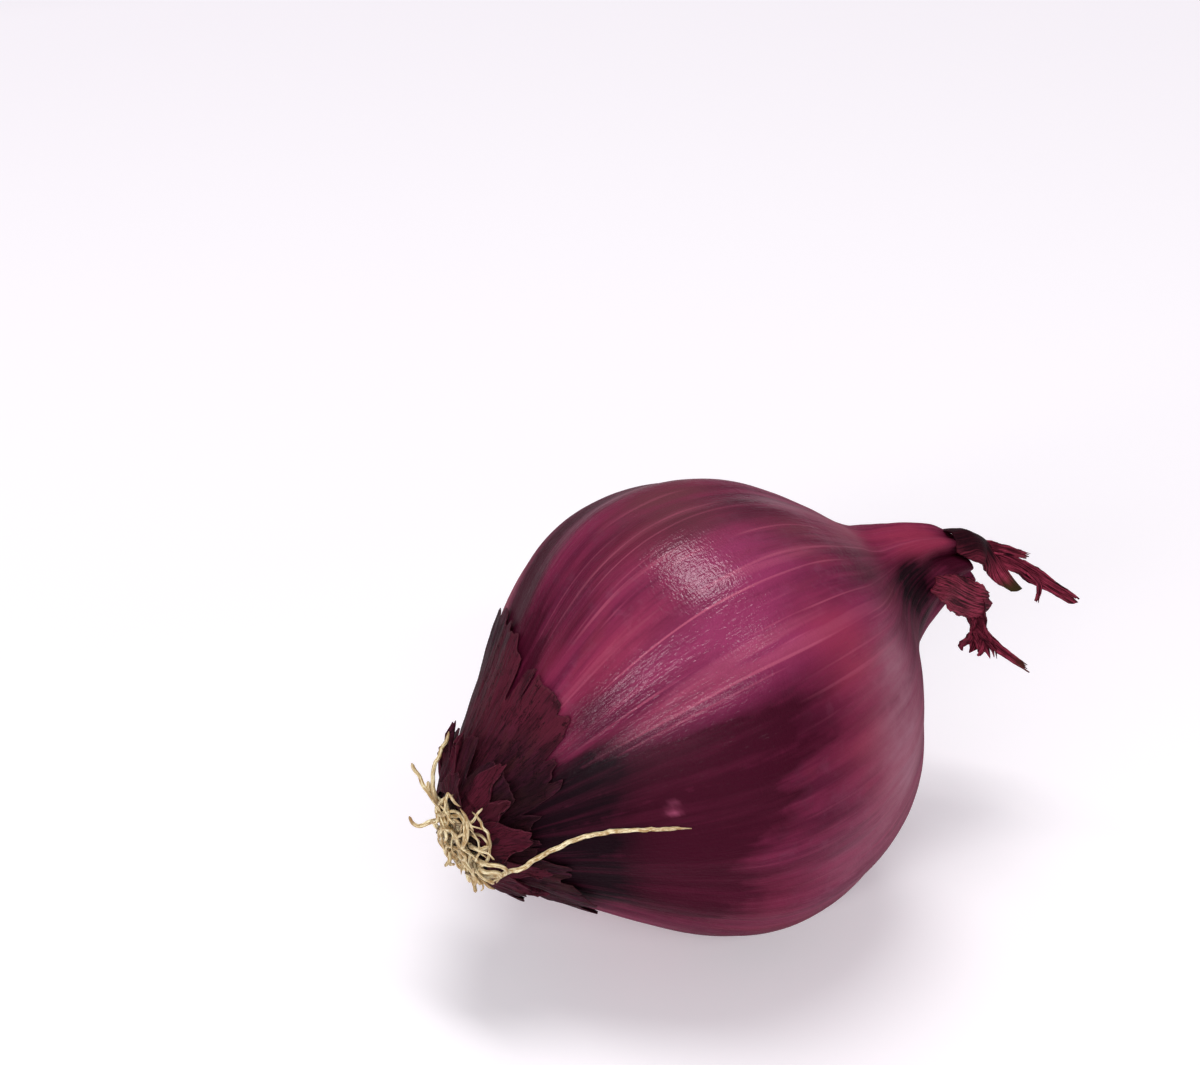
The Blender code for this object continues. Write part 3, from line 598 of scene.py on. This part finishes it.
# Loose flakes: the turn of the middle, the height of the foot and of the edge, half the width in degrees,
# the lift at the foot and at the edge, and the redness
FLAKES = (
    (150, -42.8, -35.6, 9, 1.3, 2.6, 0.5),
    (166, -42.6, -36.6, 6, 1.4, 2.4, 0.8),
    (186, -44.2, -40.4, 19, 1.7, 3.0, 0.6),
    (206, -42.2, -35.4, 11, 1.3, 2.2, 1.0),
    (224, -42.0, -37.0, 8, 1.4, 2.6, 0.7),
    (246, -43.4, -36.6, 19, 1.2, 2.2, 1.0),
    (272, -42.8, -36.0, 9, 1.2, 2.1, 0.7),
    (290, -42.8, -36.8, 9, 1.3, 2.4, 0.6),
    (20, -42.6, -36.6, 11, 1.2, 2.3, 0.8),
    (78, -42.8, -36.2, 12, 1.2, 2.4, 0.7),
    (118, -42.6, -36.8, 10, 1.2, 2.5, 0.9),
)
tool = bmesh.new()
fibre_layer = tool.verts.layers.float_vector.new("fibre")
edge_layer = tool.verts.layers.float.new("torn_edge")
red_layer = tool.verts.layers.float.new("redness")
for number, (middle, foot, top, half_width, foot_lift, edge_lift, red) in enumerate(FLAKES):
    flake = bmesh.ops.create_grid(tool, x_segments=24, y_segments=20, size=0.5)["verts"]
    for vert in flake:
        across, up = 2 * vert.co.x, vert.co.y + 0.5
        side_noise = noise.noise(Vector((up * 2.6, number * 3.0, across > 0)))
        lean = 3 * noise.noise(Vector((up * 2, number, 5.0)))
        edge_noise = 0.5 + noise.noise(Vector((across * 2.5, number * 2.0, 8.0)))
        ragged = 1 + 0.22 * side_noise - 0.7 * ease(0.3, 1.05, up)
        turn = math.radians(middle + half_width * across * ragged + lean)
        notch = 1 - 0.12 * edge_noise - 0.2 * across * across
        height = foot + (top - foot) * up * notch
        curl = (edge_lift - foot_lift) * up * up + 0.5 * across * across * ease(0.1, 0.6, up)
        curl += 0.35 * noise.noise(Vector((across * 1.6, up * 2.2, number * 4.0)))
        vert.co = on_skin(turn, height, foot_lift + curl)
        vert[fibre_layer] = fibre_place(turn, height)
        vert[edge_layer] = max(up, abs(across))
        vert[red_layer] = red
    bmesh.ops.recalc_face_normals(tool, faces=list({face for vert in flake for face in vert.link_faces}))
paper_wall(lay_down(tool, "loose_flakes", old_scale, "collar"), FLAKE_THICKNESS, 0)

# Root tuft
# The real piece is a short corky stem plate, from which a tuft of thin roots grew and dried into curled straw.
# The plate is dark and crumbly, and hidden under the roots but for its rim.
PLATE_RADIUS = 6.2
PLATE_HALF_DEPTH = 1.9
PLATE_RISE = 0.8
ROOT_RADIUS = 0.5
ROOT_CLEARANCE = 2.8
PLATE_STAND = 2.0
TANGLE_MIDDLE = (-3.0, -4.6)
TANGLE_RADIUS = 6.7
LOOSE_ROOTS = 34
ROOTLETS = 48
ROOTLET_RADIUS = 0.22
LONG_ROOT_SIZE = 0.86
STANDING_ROOT_SIZE = 0.85
LOOSE_ROOT_SIZES = (0.6, 0.85)
ROOTLET_SIZES = (0.8, 1.3)
SEED = 8
LONG_ROOT = (
    (2.6, -2.2, -45.0), (1.9, -6.0, -46.9), (0.7, -9.6, -46.3), (-0.2, -12.2, -43.6), (-1.9, -14.6, -40.2),
    (-3.6, -16.1, -37.9), (-4.9, -17.6, -35.8), (-5.9, -19.2, -33.0), (-6.6, -21.2, -30.5), (-7.0, -23.8, -27.7),
    (-7.5, -26.5, -24.9), (-7.8, -29.0, -22.6), (-8.1, -31.4, -20.6),
)
STANDING_ROOTS = (
    ((-4.4, 2.2, -44.8), (-7.2, 3.4, -46.5), (-10.6, 4.3, -45.2), (-12.6, 5.4, -42.4), (-14.6, 6.4, -39.6)),
    ((-3.4, 2.4, -45.0), (-6.0, 4.0, -46.4), (-8.6, 5.6, -46.2), (-11.4, 7.9, -46.6)),
    ((-3.0, 1.6, -45.2), (-4.0, 2.6, -47.4), (-2.6, 3.2, -49.0), (-3.0, 4.2, -50.2), (-4.8, 4.9, -50.2)),
    ((-4.8, 3.0, -44.9), (-7.0, 4.8, -46.2), (-8.6, 5.6, -45.6)),
    ((0.4, -0.4, -45.4), (1.6, -0.6, -47.4), (2.6, -1.0, -48.8)),
    ((3.4, -2.2, -45.0), (5.4, -3.6, -46.0), (7.2, -4.8, -46.6)),
    ((1.0, -3.6, -45.2), (-0.4, -8.2, -47.0), (-1.6, -11.8, -44.9), (-0.9, -12.4, -43.8), (0.6, -11.6, -44.4)),
    ((-0.6, -4.2, -45.0), (-2.4, -8.6, -46.8), (-2.9, -12.4, -44.0), (-1.6, -13.2, -42.8), (0.0, -12.0, -43.9)),
    ((-1.8, -3.8, -45.0), (-4.4, -7.8, -46.8), (-5.6, -11.2, -44.4)),
)

# Corky stem plate: dead, crumbly cork, dark brown with lighter crumbs and no gloss
cork, shader, links = new_material("stem_plate_cork")
place = add_node(cork, "TexCoord", out="Object")
crumbs = add_node(cork, "TexNoise", {"Vector": place, "Scale": 900.0, "Detail": 4.0, "Roughness": 0.7})
limits = {"Value": crumbs, "From Min": 0.4, "From Max": 0.65}
light = add_node(cork, "MapRange", limits, interpolation_type="SMOOTHSTEP")
colour = add_node(cork, "Mix", {0: light, 6: linear("1E0C0C"), 7: linear("4E3024")}, out=2, data_type="RGBA")
links.new(colour, shader.inputs["Base Color"])
bumped = add_node(cork, "Bump", {"Strength": 0.9, "Distance": 0.0006, "Height": crumbs})
links.new(bumped, shader.inputs["Normal"])
shader.inputs["Roughness"].default_value = 0.9

tool = bmesh.new()
bmesh.ops.create_icosphere(tool, subdivisions=5, radius=1)
for vert in tool.verts:
    bump = 1 + 0.12 * noise.noise(vert.co * 2.5) + 0.05 * noise.noise(vert.co * 9)
    x, y, z = vert.co
    vert.co = Vector((x * PLATE_RADIUS, y * PLATE_RADIUS, z * PLATE_HALF_DEPTH)) * bump
    vert.co.z += ROOT_END - PLATE_RISE
lay_down(tool, "corky_plate", cork, "root_tuft")

# Dried root: a shrivelled straw-like fibre, cream on its ridges and tan in its wrinkles, the tan partly painted
# shade, dark at its foot from dirt and painted shade, browner to its tip, with almost no gloss
root_straw, shader, links = new_material("dried_root_straw")
along_root = add_node(root_straw, "Attribute", out="Vector", attribute_name="along_root")
place = add_node(root_straw, "TexCoord", out="Object")
stretched = add_node(root_straw, "Mapping", {"Vector": along_root, "Scale": (3.0, 0.8, 1.0)})
wrinkles = add_node(root_straw, "TexNoise", {"Vector": stretched, "Scale": 1.0, "Detail": 3.0, "Roughness": 0.7})
blotches = add_node(root_straw, "TexNoise", {"Vector": place, "Scale": 260.0, "Detail": 3.0, "Roughness": 0.6})
reached = add_node(root_straw, "SeparateXYZ", {0: along_root}, out="Z")
colour = linear("AC8854")
for value, low, high, most, hex_code in (
    # Cream ridges over tan wrinkles, partly the root's own tone and partly painted shade in the wrinkles
    (wrinkles, 0.4, 0.6, 1.0, "F4E8C0"),
    (blotches, 0.48, 0.72, 0.7, "9A7444"),
    (reached, 0.85, 1.0, 0.45, "8A6238"),
    # Dark foot by the plate: partly dirt, partly painted shade
    (reached, 0.3, 0.0, 0.8, "3E2618"),
):
    limits = {"Value": value, "From Min": low, "From Max": high, "To Max": most}
    share = add_node(root_straw, "MapRange", limits, interpolation_type="SMOOTHSTEP")
    colour = add_node(root_straw, "Mix", {0: share, 6: colour, 7: linear(hex_code)}, out=2, data_type="RGBA")
links.new(colour, shader.inputs["Base Color"])
bumped = add_node(root_straw, "Bump", {"Strength": 0.5, "Distance": 0.0001, "Height": wrinkles})
links.new(bumped, shader.inputs["Normal"])
shader.inputs["Roughness"].default_value = 0.7
shader.inputs["Specular IOR Level"].default_value = 0.3


def over_root_end(x, y, stand):
    """A point over the root end: below the plate in its middle, and off the collar's slope farther out."""
    reach = math.hypot(x, y)
    slant = ease(3.5, 7.5, reach)
    off = max(reach, 0.01)
    out = Vector((0.7 * slant * x / off, 0.7 * slant * y / off, 0.3 * slant - 1))
    height = ROOT_END + max(reach - outline_radius(ROOT_END), 0)
    return Vector((x, y, height)) + out * (stand + PLATE_STAND + (ROOT_CLEARANCE - PLATE_STAND) * slant)


def smooth_line(points, steps):
    """Places on a smooth curve held near its points, as a root bends between them."""
    curve = bpy.data.curves.new("line", "CURVE")
    curve.dimensions = "3D"
    curve.resolution_u = steps
    path = curve.splines.new("NURBS")
    path.points.add(len(points) - 1)
    path.order_u = 4
    path.use_endpoint_u = True
    for place, point in zip(points, path.points):
        point.co = (*place, 1)
    guide = bpy.data.objects.new("line", curve)
    bpy.context.scene.collection.objects.link(guide)
    mesh = bpy.data.meshes.new_from_object(guide.evaluated_get(bpy.context.evaluated_depsgraph_get()))
    line = [vert.co.copy() for vert in mesh.vertices]
    bpy.data.objects.remove(guide)
    bpy.data.curves.remove(curve)
    bpy.data.meshes.remove(mesh)
    return line


def add_root(tool, line, radius, number, sides=8):
    """Draws a circle out along a line into a shrivelled root, thinner to its closed tip."""
    layers = tool.verts.layers.float_vector
    layer = layers.get("along_root") or layers.new("along_root")
    ring = bmesh.ops.create_circle(tool, segments=sides, radius=1, cap_ends=True)["verts"]
    flat = [Vector(vert.co) for vert in ring]
    sides_of_ring = [tool.edges.get((ring[at - 1], ring[at])) for at in range(sides)]
    turned = Vector((0, 0, 1)).rotation_difference((line[1] - line[0]).normalized())
    travelled = 0.0
    line = [place + 0.3 * noise.noise_vector(place * 0.6 + Vector((number, 0, 0))) for place in line]
    for at, place in enumerate(line):
        if at:
            before = ring
            grown = bmesh.ops.extrude_edge_only(tool, edges=sides_of_ring)["geom"]
            new_verts = {part for part in grown if isinstance(part, bmesh.types.BMVert)}
            ring = [
                next(edge.other_vert(old) for edge in old.link_edges if edge.other_vert(old) in new_verts)
                for old in before
            ]
            sides_of_ring = [tool.edges.get((ring[corner - 1], ring[corner])) for corner in range(sides)]
            travelled += (place - line[at - 1]).length
            ahead = line[min(at + 1, len(line) - 1)] - line[at - 1]
            turned = (turned @ Vector((0, 0, 1))).rotation_difference(ahead.normalized()) @ turned
        share = at / (len(line) - 1)
        size = radius * (1 - 0.35 * share) * (1 - 0.75 * ease(0.96, 1.0, share))
        for corner, (vert, spot) in enumerate(zip(ring, flat)):
            shrunk = 1 + 0.22 * noise.noise(Vector((corner * 2.1, travelled * 0.9, number * 7.3)))
            shrunk += 0.10 * noise.noise(Vector((number * 3.1, travelled * 0.6, 1.5)))
            vert.co = place + turned @ (spot * size * shrunk)
            vert[layer] = Vector((math.cos(math.tau * corner / sides) + number, travelled, share))
    bmesh.ops.contextual_create(tool, geom=sides_of_ring)


# The noise that bends the roots takes the same seed as the draws, so each run gives the same tangle
noise.seed_set(SEED)
tool = bmesh.new()
add_root(tool, smooth_line(LONG_ROOT, 9), ROOT_RADIUS * LONG_ROOT_SIZE, 0, sides=12)
for number, points in enumerate(STANDING_ROOTS):
    add_root(tool, smooth_line(points, 8), ROOT_RADIUS * STANDING_ROOT_SIZE, number + 1)

# Loose roots wander out from the plate over the root end, and turn back at the edge of the tangle
draw = random.Random(SEED)
for number in range(LOOSE_ROOTS):
    turn = draw.uniform(0, math.tau) if number % 3 == 0 else math.radians(draw.uniform(180, 290))
    reach = draw.uniform(1.5, 5.2)
    spot = Vector((reach * math.cos(turn), reach * math.sin(turn)))
    points = [(spot.x, spot.y, ROOT_END - 1.0)]
    heading = turn + draw.uniform(-0.9, 0.9)
    curl = math.radians(draw.uniform(25, 65)) * draw.choice((-1, 1))
    stand = draw.uniform(0.0, 1.0)
    for _ in range(draw.randint(4, 7)):
        step = Vector((math.cos(heading), math.sin(heading))) * draw.uniform(1.2, 2.0)
        away = spot + step - Vector(TANGLE_MIDDLE)
        if away.length > TANGLE_RADIUS:
            step = -away.normalized() * 1.4
            heading = math.atan2(step.y, step.x)
        spot = spot + step
        heading += curl
        stand = min(max(stand + draw.uniform(-0.7, 0.8), 0.0), 2.2)
        points.append(over_root_end(spot.x, spot.y, stand))
    add_root(tool, smooth_line(points, 8), ROOT_RADIUS * draw.uniform(*LOOSE_ROOT_SIZES), number + 20)

# The finest rootlets lie short and crossed in the tangle
for number in range(ROOTLETS):
    turn = draw.uniform(0, math.tau)
    spot = Vector(TANGLE_MIDDLE) * 0.6 + draw.uniform(0.5, 4.8) * Vector((math.cos(turn), math.sin(turn)))
    heading = draw.uniform(0, math.tau)
    points = []
    for _ in range(draw.randint(4, 6)):
        points.append(over_root_end(spot.x, spot.y, draw.uniform(-0.6, 2.0)))
        heading += draw.uniform(-1.2, 1.2)
        spot = spot + Vector((math.cos(heading), math.sin(heading))) * draw.uniform(0.9, 1.6)
        away = spot - Vector(TANGLE_MIDDLE)
        if away.length > TANGLE_RADIUS - 0.8:
            spot = Vector(TANGLE_MIDDLE) + away.normalized() * (TANGLE_RADIUS - 0.8)
            heading += 2.0
    size = ROOTLET_RADIUS * draw.uniform(*ROOTLET_SIZES)
    add_root(tool, smooth_line(points, 6), size, number + 60, sides=6)
bmesh.ops.recalc_face_normals(tool, faces=tool.faces)
lay_down(tool, "dried_roots", root_straw, "root_tuft")

# Dry leaves
# The real pieces are the bases of the onion's leaves, which dried, twisted and tore where the neck was cut off.
# They are thin and stiff, cupped along their fibres, with toothed, ragged ends. Each strip is a line of points
# and the widths at shares of its length.
LEAF_THICKNESS = 0.3
FOLD = (
    (-8.6, -2.4, 51.2), (-6.6, -2.2, 54.4), (-3.8, -2.0, 57.4), (-0.3, -2.9, 58.9), (2.6, -5.1, 59.7),
    (5.4, -7.2, 60.9),
)
FOLD_WIDTHS = ((0.0, 5.0), (0.2, 9.0), (0.5, 8.4), (0.75, 5.4), (0.9, 3.8), (1.0, 3.0))
SPUR = ((-4.0, 0.2, 56.0), (-3.0, -1.1, 57.6), (-1.1, -3.1, 61.5), (1.0, -5.5, 65.0))
SPUR_WIDTHS = ((0.0, 2.4), (0.5, 2.2), (1.0, 0.9))
LONG_STRIP = ((-2.9, -1.2, 56.6), (0.9, -4.2, 61.5), (3.2, -6.5, 63.7), (6.2, -9.7, 66.2), (9.4, -12.7, 68.9))
LONG_STRIP_WIDTHS = ((0.0, 2.6), (0.3, 2.4), (0.55, 2.9), (0.75, 1.9), (0.92, 1.8), (1.0, 0.9))
THREAD = ((3.0, -6.2, 63.6), (4.6, -8.0, 64.0), (5.8, -8.8, 63.4), (7.0, -9.6, 62.0))
THREAD_WIDTHS = ((0.0, 1.2), (1.0, 0.8))
FLAP = ((-8.6, -10.6, 40.9), (-5.6, -10.2, 44.2), (-0.2, -8.6, 49.0), (3.8, -7.9, 53.9))
FLAP_WIDTHS = ((0.0, 2.4), (0.3, 4.4), (0.65, 6.6), (0.88, 5.4), (1.0, 2.6))
HANGING_STRIP = ((1.4, -7.9, 50.2), (6.6, -8.0, 50.5), (9.3, -7.9, 49.4), (11.3, -7.6, 48.2))
HANGING_WIDTHS = ((0.0, 3.6), (0.45, 2.6), (0.75, 4.6), (0.9, 4.2), (1.0, 2.4))
LOBE = ((5.2, -8.0, 50.6), (8.0, -8.2, 50.6), (10.5, -9.0, 51.0), (13.8, -10.2, 51.2))
LOBE_WIDTHS = ((0.0, 2.0), (0.5, 2.6), (0.8, 3.0), (1.0, 1.4))
SPIKE = ((6.6, -8.0, 50.5), (9.0, -9.0, 51.4), (12.2, -10.8, 53.2), (16.1, -14.1, 56.1))
SPIKE_WIDTHS = ((0.0, 2.0), (0.5, 1.7), (1.0, 0.8))
BACK_FLAP = ((-2.6, 9.4, 44.0), (0.6, 8.0, 49.0), (4.4, 6.8, 54.0), (8.6, 6.2, 57.6))
BACK_FLAP_WIDTHS = ((0.0, 3.6), (0.35, 6.0), (0.7, 5.2), (1.0, 1.6))
BACK_TONGUE = ((0.8, 8.0, 49.4), (1.2, 7.8, 55.0), (0.6, 8.8, 60.0))
BACK_TONGUE_WIDTHS = ((0.0, 3.0), (0.5, 2.6), (1.0, 0.9))

# Dried onion leaf: thin, fibrous leaf base, dark burgundy with redder ribs, brown to olive at its dead tips,
# and darker at its foot with painted shade
leaf_paper, shader, links = new_material("dried_onion_leaf")
leaf = add_node(leaf_paper, "Attribute", out="Vector", attribute_name="leaf")
dead_tip = add_node(leaf_paper, "Attribute", out="Fac", attribute_name="dead_tip")
shaded = add_node(leaf_paper, "Attribute", out="Fac", attribute_name="shaded")
place = add_node(leaf_paper, "TexCoord", out="Object")
stretched = add_node(leaf_paper, "Mapping", {"Vector": leaf, "Scale": (2.2, 0.16, 1.0)})
ribs = add_node(leaf_paper, "TexNoise", {"Vector": stretched, "Scale": 1.0, "Detail": 3.0, "Roughness": 0.6})
blotches = add_node(leaf_paper, "TexNoise", {"Vector": place, "Scale": 330.0, "Detail": 4.0, "Roughness": 0.65})
colour = linear("22050D")
for value, low, high, most, hex_code in (
    (ribs, 0.34, 0.68, 1.0, "A03850"),
    (blotches, 0.44, 0.68, 0.55, "1C050B"),
    (shaded, 0.0, 1.0, 0.92, "0E0308"),
    (dead_tip, 0.0, 1.0, 1.0, "342C16"),
):
    limits = {"Value": value, "From Min": low, "From Max": high, "To Max": most}
    share = add_node(leaf_paper, "MapRange", limits, interpolation_type="SMOOTHSTEP")
    colour = add_node(leaf_paper, "Mix", {0: share, 6: colour, 7: linear(hex_code)}, out=2, data_type="RGBA")
links.new(colour, shader.inputs["Base Color"])
relief = add_node(leaf_paper, "Math", {0: ribs, 1: 1.2, 2: blotches}, operation="MULTIPLY_ADD")
bumped = add_node(leaf_paper, "Bump", {"Strength": 0.7, "Distance": 0.0003, "Height": relief})
links.new(bumped, shader.inputs["Normal"])
shader.inputs["Roughness"].default_value = 0.7
shader.inputs["Specular IOR Level"].default_value = 0.12
shader.inputs["Specular Tint"].default_value = linear("FFB4CC")


def path_frame(points, share):
    """Place and heading on a smooth line through points, at a share of its length from 0 to 1."""
    last = len(points) - 1
    at = min(int(share * last), last - 1)
    t = share * last - at
    p1, p2 = Vector(points[at]), Vector(points[at + 1])
    p0 = Vector(points[at - 1]) if at else p1 * 2 - p2
    p3 = Vector(points[at + 2]) if at + 2 <= last else p2 * 2 - p1
    place = 0.5 * (
        2 * p1 + (p2 - p0) * t + (2 * p0 - 5 * p1 + 4 * p2 - p3) * t ** 2 + (3 * p1 - p0 - 3 * p2 + p3) * t ** 3
    )
    heading = 0.5 * (
        (p2 - p0) + 2 * (2 * p0 - 5 * p1 + 4 * p2 - p3) * t + 3 * (3 * p1 - p0 - 3 * p2 + p3) * t ** 2
    )
    return place, heading.normalized()


def add_strip(
    tool, name, points, widths, face_on,
    cup=0.25, ragged=0.15, tips=0.0, teeth=0.1, dark=0.25, columns=14, rows=56,
):
    """Adds a torn strip of dry leaf along points, cupped across, with ragged sides and a toothed end.

    Its face looks along face_on. Painted shade darkens its foot, and it is dead and brown at its tip.
    """
    facing = Vector(face_on).normalized()
    layers = tool.verts.layers
    leaf_layer = layers.float_vector.get("leaf") or layers.float_vector.new("leaf")
    tip_layer = layers.float.get("dead_tip") or layers.float.new("dead_tip")
    shade_layer = layers.float.get("shaded") or layers.float.new("shaded")
    seed = len(name)
    length = sum((Vector(b) - Vector(a)).length for a, b in zip(points, points[1:]))
    made = bmesh.ops.create_grid(tool, x_segments=columns, y_segments=rows, size=0.5)["verts"]
    for vert in made:
        across, along = vert.co.x + 0.5, vert.co.y + 0.5
        u = 2 * across - 1
        bite = teeth * (0.5 + noise.noise(Vector((across * 5.5, seed, 4.4)))) * ease(0.6, 1.0, along)
        reached = max(along - max(bite, 0), 0.0)
        spot, heading = path_frame(points, reached)
        side = heading.cross(facing).normalized()
        up = side.cross(heading)
        width = between(widths, reached)
        torn = 1 + ragged * noise.noise(Vector((along * 9.0, 3.0 * (u > 0), seed))) * abs(u)
        torn += 0.5 * ragged * noise.noise(Vector((along * 31.0, 3.0 * (u > 0), seed + 2.0))) * abs(u) ** 2
        twist = 0.35 * noise.noise(Vector((along * 3.0, seed, 1.7)))
        crease = 0.12 * noise.noise(Vector((u * 2.4, along * 3.2, seed + 6.0))) * width * 0.5
        vert.co = spot + side * (u * width / 2 * torn)
        vert.co += up * (cup * width * (u * u - 0.4) + twist * u * width / 2 + crease)
        vert[leaf_layer] = Vector((u * width, along * length, seed * 3.0))
        vert[tip_layer] = tips * ease(0.72, 1.0, along)
        # Painted shade: darker at the foot, where the strip comes out of the neck, and on one side
        vert[shade_layer] = dark * (1 - ease(0.3, 0.85, along)) * (1 - 0.4 * ease(0.2, 1.0, u))
    bmesh.ops.recalc_face_normals(tool, faces=list({face for vert in made for face in vert.link_faces}))


tool = bmesh.new()
add_strip(tool, "upper_leaf", FOLD, FOLD_WIDTHS, (-0.7, -0.3, 0.5), cup=-0.3, tips=1.0, dark=1.0, columns=22)
add_strip(tool, "spur", SPUR, SPUR_WIDTHS, (-0.6, -0.8, 0.1), tips=0.3)
add_strip(tool, "long_strip", LONG_STRIP, LONG_STRIP_WIDTHS, (-0.5, -0.6, -0.5), tips=0.2)
add_strip(tool, "thread", THREAD, THREAD_WIDTHS, (-0.5, -0.7, 0.2), columns=6, tips=0.4)
paper_wall(lay_down(tool, "folded_leaf", leaf_paper, "upper_leaf"), LEAF_THICKNESS, 0)

tool = bmesh.new()
add_strip(tool, "lower_leaf", FLAP, FLAP_WIDTHS, (-0.3, -0.9, -0.1), cup=-0.24, columns=22)
add_strip(tool, "hanging_strip", HANGING_STRIP, HANGING_WIDTHS, (-0.5, -0.8, -0.3), teeth=0.2)
add_strip(tool, "lobe", LOBE, LOBE_WIDTHS, (-0.6, -0.6, -0.5), teeth=0.35)
add_strip(tool, "spike", SPIKE, SPIKE_WIDTHS, (-0.5, -0.8, -0.1), tips=0.6)
paper_wall(lay_down(tool, "hanging_leaf", leaf_paper, "lower_leaf"), LEAF_THICKNESS, 0)

tool = bmesh.new()
add_strip(tool, "back_leaf", BACK_FLAP, BACK_FLAP_WIDTHS, (0.1, 1.0, 0.1), cup=-0.08, columns=22)
add_strip(tool, "back_tongue", BACK_TONGUE, BACK_TONGUE_WIDTHS, (-0.2, 1.0, 0.1), tips=0.4)
paper_wall(lay_down(tool, "torn_back_leaf", leaf_paper, "back_leaf"), LEAF_THICKNESS, 0)

# Floor, light and camera
# The floor is a plain white sheet. A soft light hangs above, a wide one stands in front to the left,
# and the pale room around fills in. The camera looks down on the onion from the side of its root end.
FLOOR_HALF_WIDTH = 3.0
CAMERA_PLACE = (-0.150838, -0.229298, 0.214352)
CAMERA_TURN = (62.037, 1.343, -30.472)

# White paper, matt and even. It glows a little with painted light, more so away from the onion, as light from
# the room does there
floor_paper, shader, links = new_material("white_floor_sheet")
shader.inputs["Base Color"].default_value = linear("F4F1F4")
shader.inputs["Roughness"].default_value = 0.8
shader.inputs["Emission Color"].default_value = linear("F4EEF6")
place = add_node(floor_paper, "TexCoord", out="Object")
far = add_node(floor_paper, "VectorMath", {0: place}, out="Value", operation="LENGTH")
limits = {"Value": far, "From Min": 0.15, "From Max": 0.7, "To Min": 0.25, "To Max": 0.5}
glow = add_node(floor_paper, "MapRange", limits)
links.new(glow, shader.inputs["Emission Strength"])
tool = bmesh.new()
bmesh.ops.create_grid(tool, x_segments=1, y_segments=1, size=FLOOR_HALF_WIDTH)
mesh = bpy.data.meshes.new("floor")
tool.to_mesh(mesh)
tool.free()
mesh.materials.append(floor_paper)
floor = bpy.data.objects.new("floor", mesh)
bpy.context.scene.collection.objects.link(floor)


def soft_light(name, place, along, size, power):
    """A soft oval light that faces the onion, with its long side along a direction."""
    lamp = bpy.data.lights.new(name, "AREA")
    lamp.shape = "ELLIPSE"
    lamp.size, lamp.size_y = size
    lamp.energy = power
    away = (Vector(place) - Vector((0, 0, 0.04))).normalized()
    side = (Vector(along) - away * away.dot(Vector(along))).normalized()
    holder = bpy.data.objects.new(name, lamp)
    holder.location = place
    holder.rotation_euler = Matrix((side, away.cross(side), away)).transposed().to_euler()
    bpy.context.scene.collection.objects.link(holder)


soft_light("light_above", (0.02, 0.06, 0.9), (0.3, -1, 0), (0.6, 0.2), 3.7)
soft_light("light_in_front", (-0.68, -0.62, 0.55), (1, -0.1, 0.1), (1.9, 0.12), 7.6)

scene = bpy.context.scene
world = bpy.data.worlds.new("pale_room")
scene.world = world
world.use_nodes = True
world.node_tree.nodes["Background"].inputs["Color"].default_value = linear("F1EDF3")
toward = add_node(world, "TexCoord", out="Generated")
upward = add_node(world, "SeparateXYZ", {0: toward}, out="Z")
limits = {"Value": upward, "From Min": 0.1, "From Max": 0.7, "To Min": 0.08, "To Max": 0.36}
glow = add_node(world, "MapRange", limits)
world.node_tree.links.new(glow, world.node_tree.nodes["Background"].inputs["Strength"])
scene.view_settings.view_transform = "Standard"

camera = bpy.data.cameras.new("camera")
camera.lens = 60
camera.sensor_width = 36
camera.clip_start = 0.01
holder = bpy.data.objects.new("camera", camera)
holder.location = CAMERA_PLACE
holder.rotation_euler = [math.radians(angle) for angle in CAMERA_TURN]
scene.collection.objects.link(holder)
scene.camera = holder
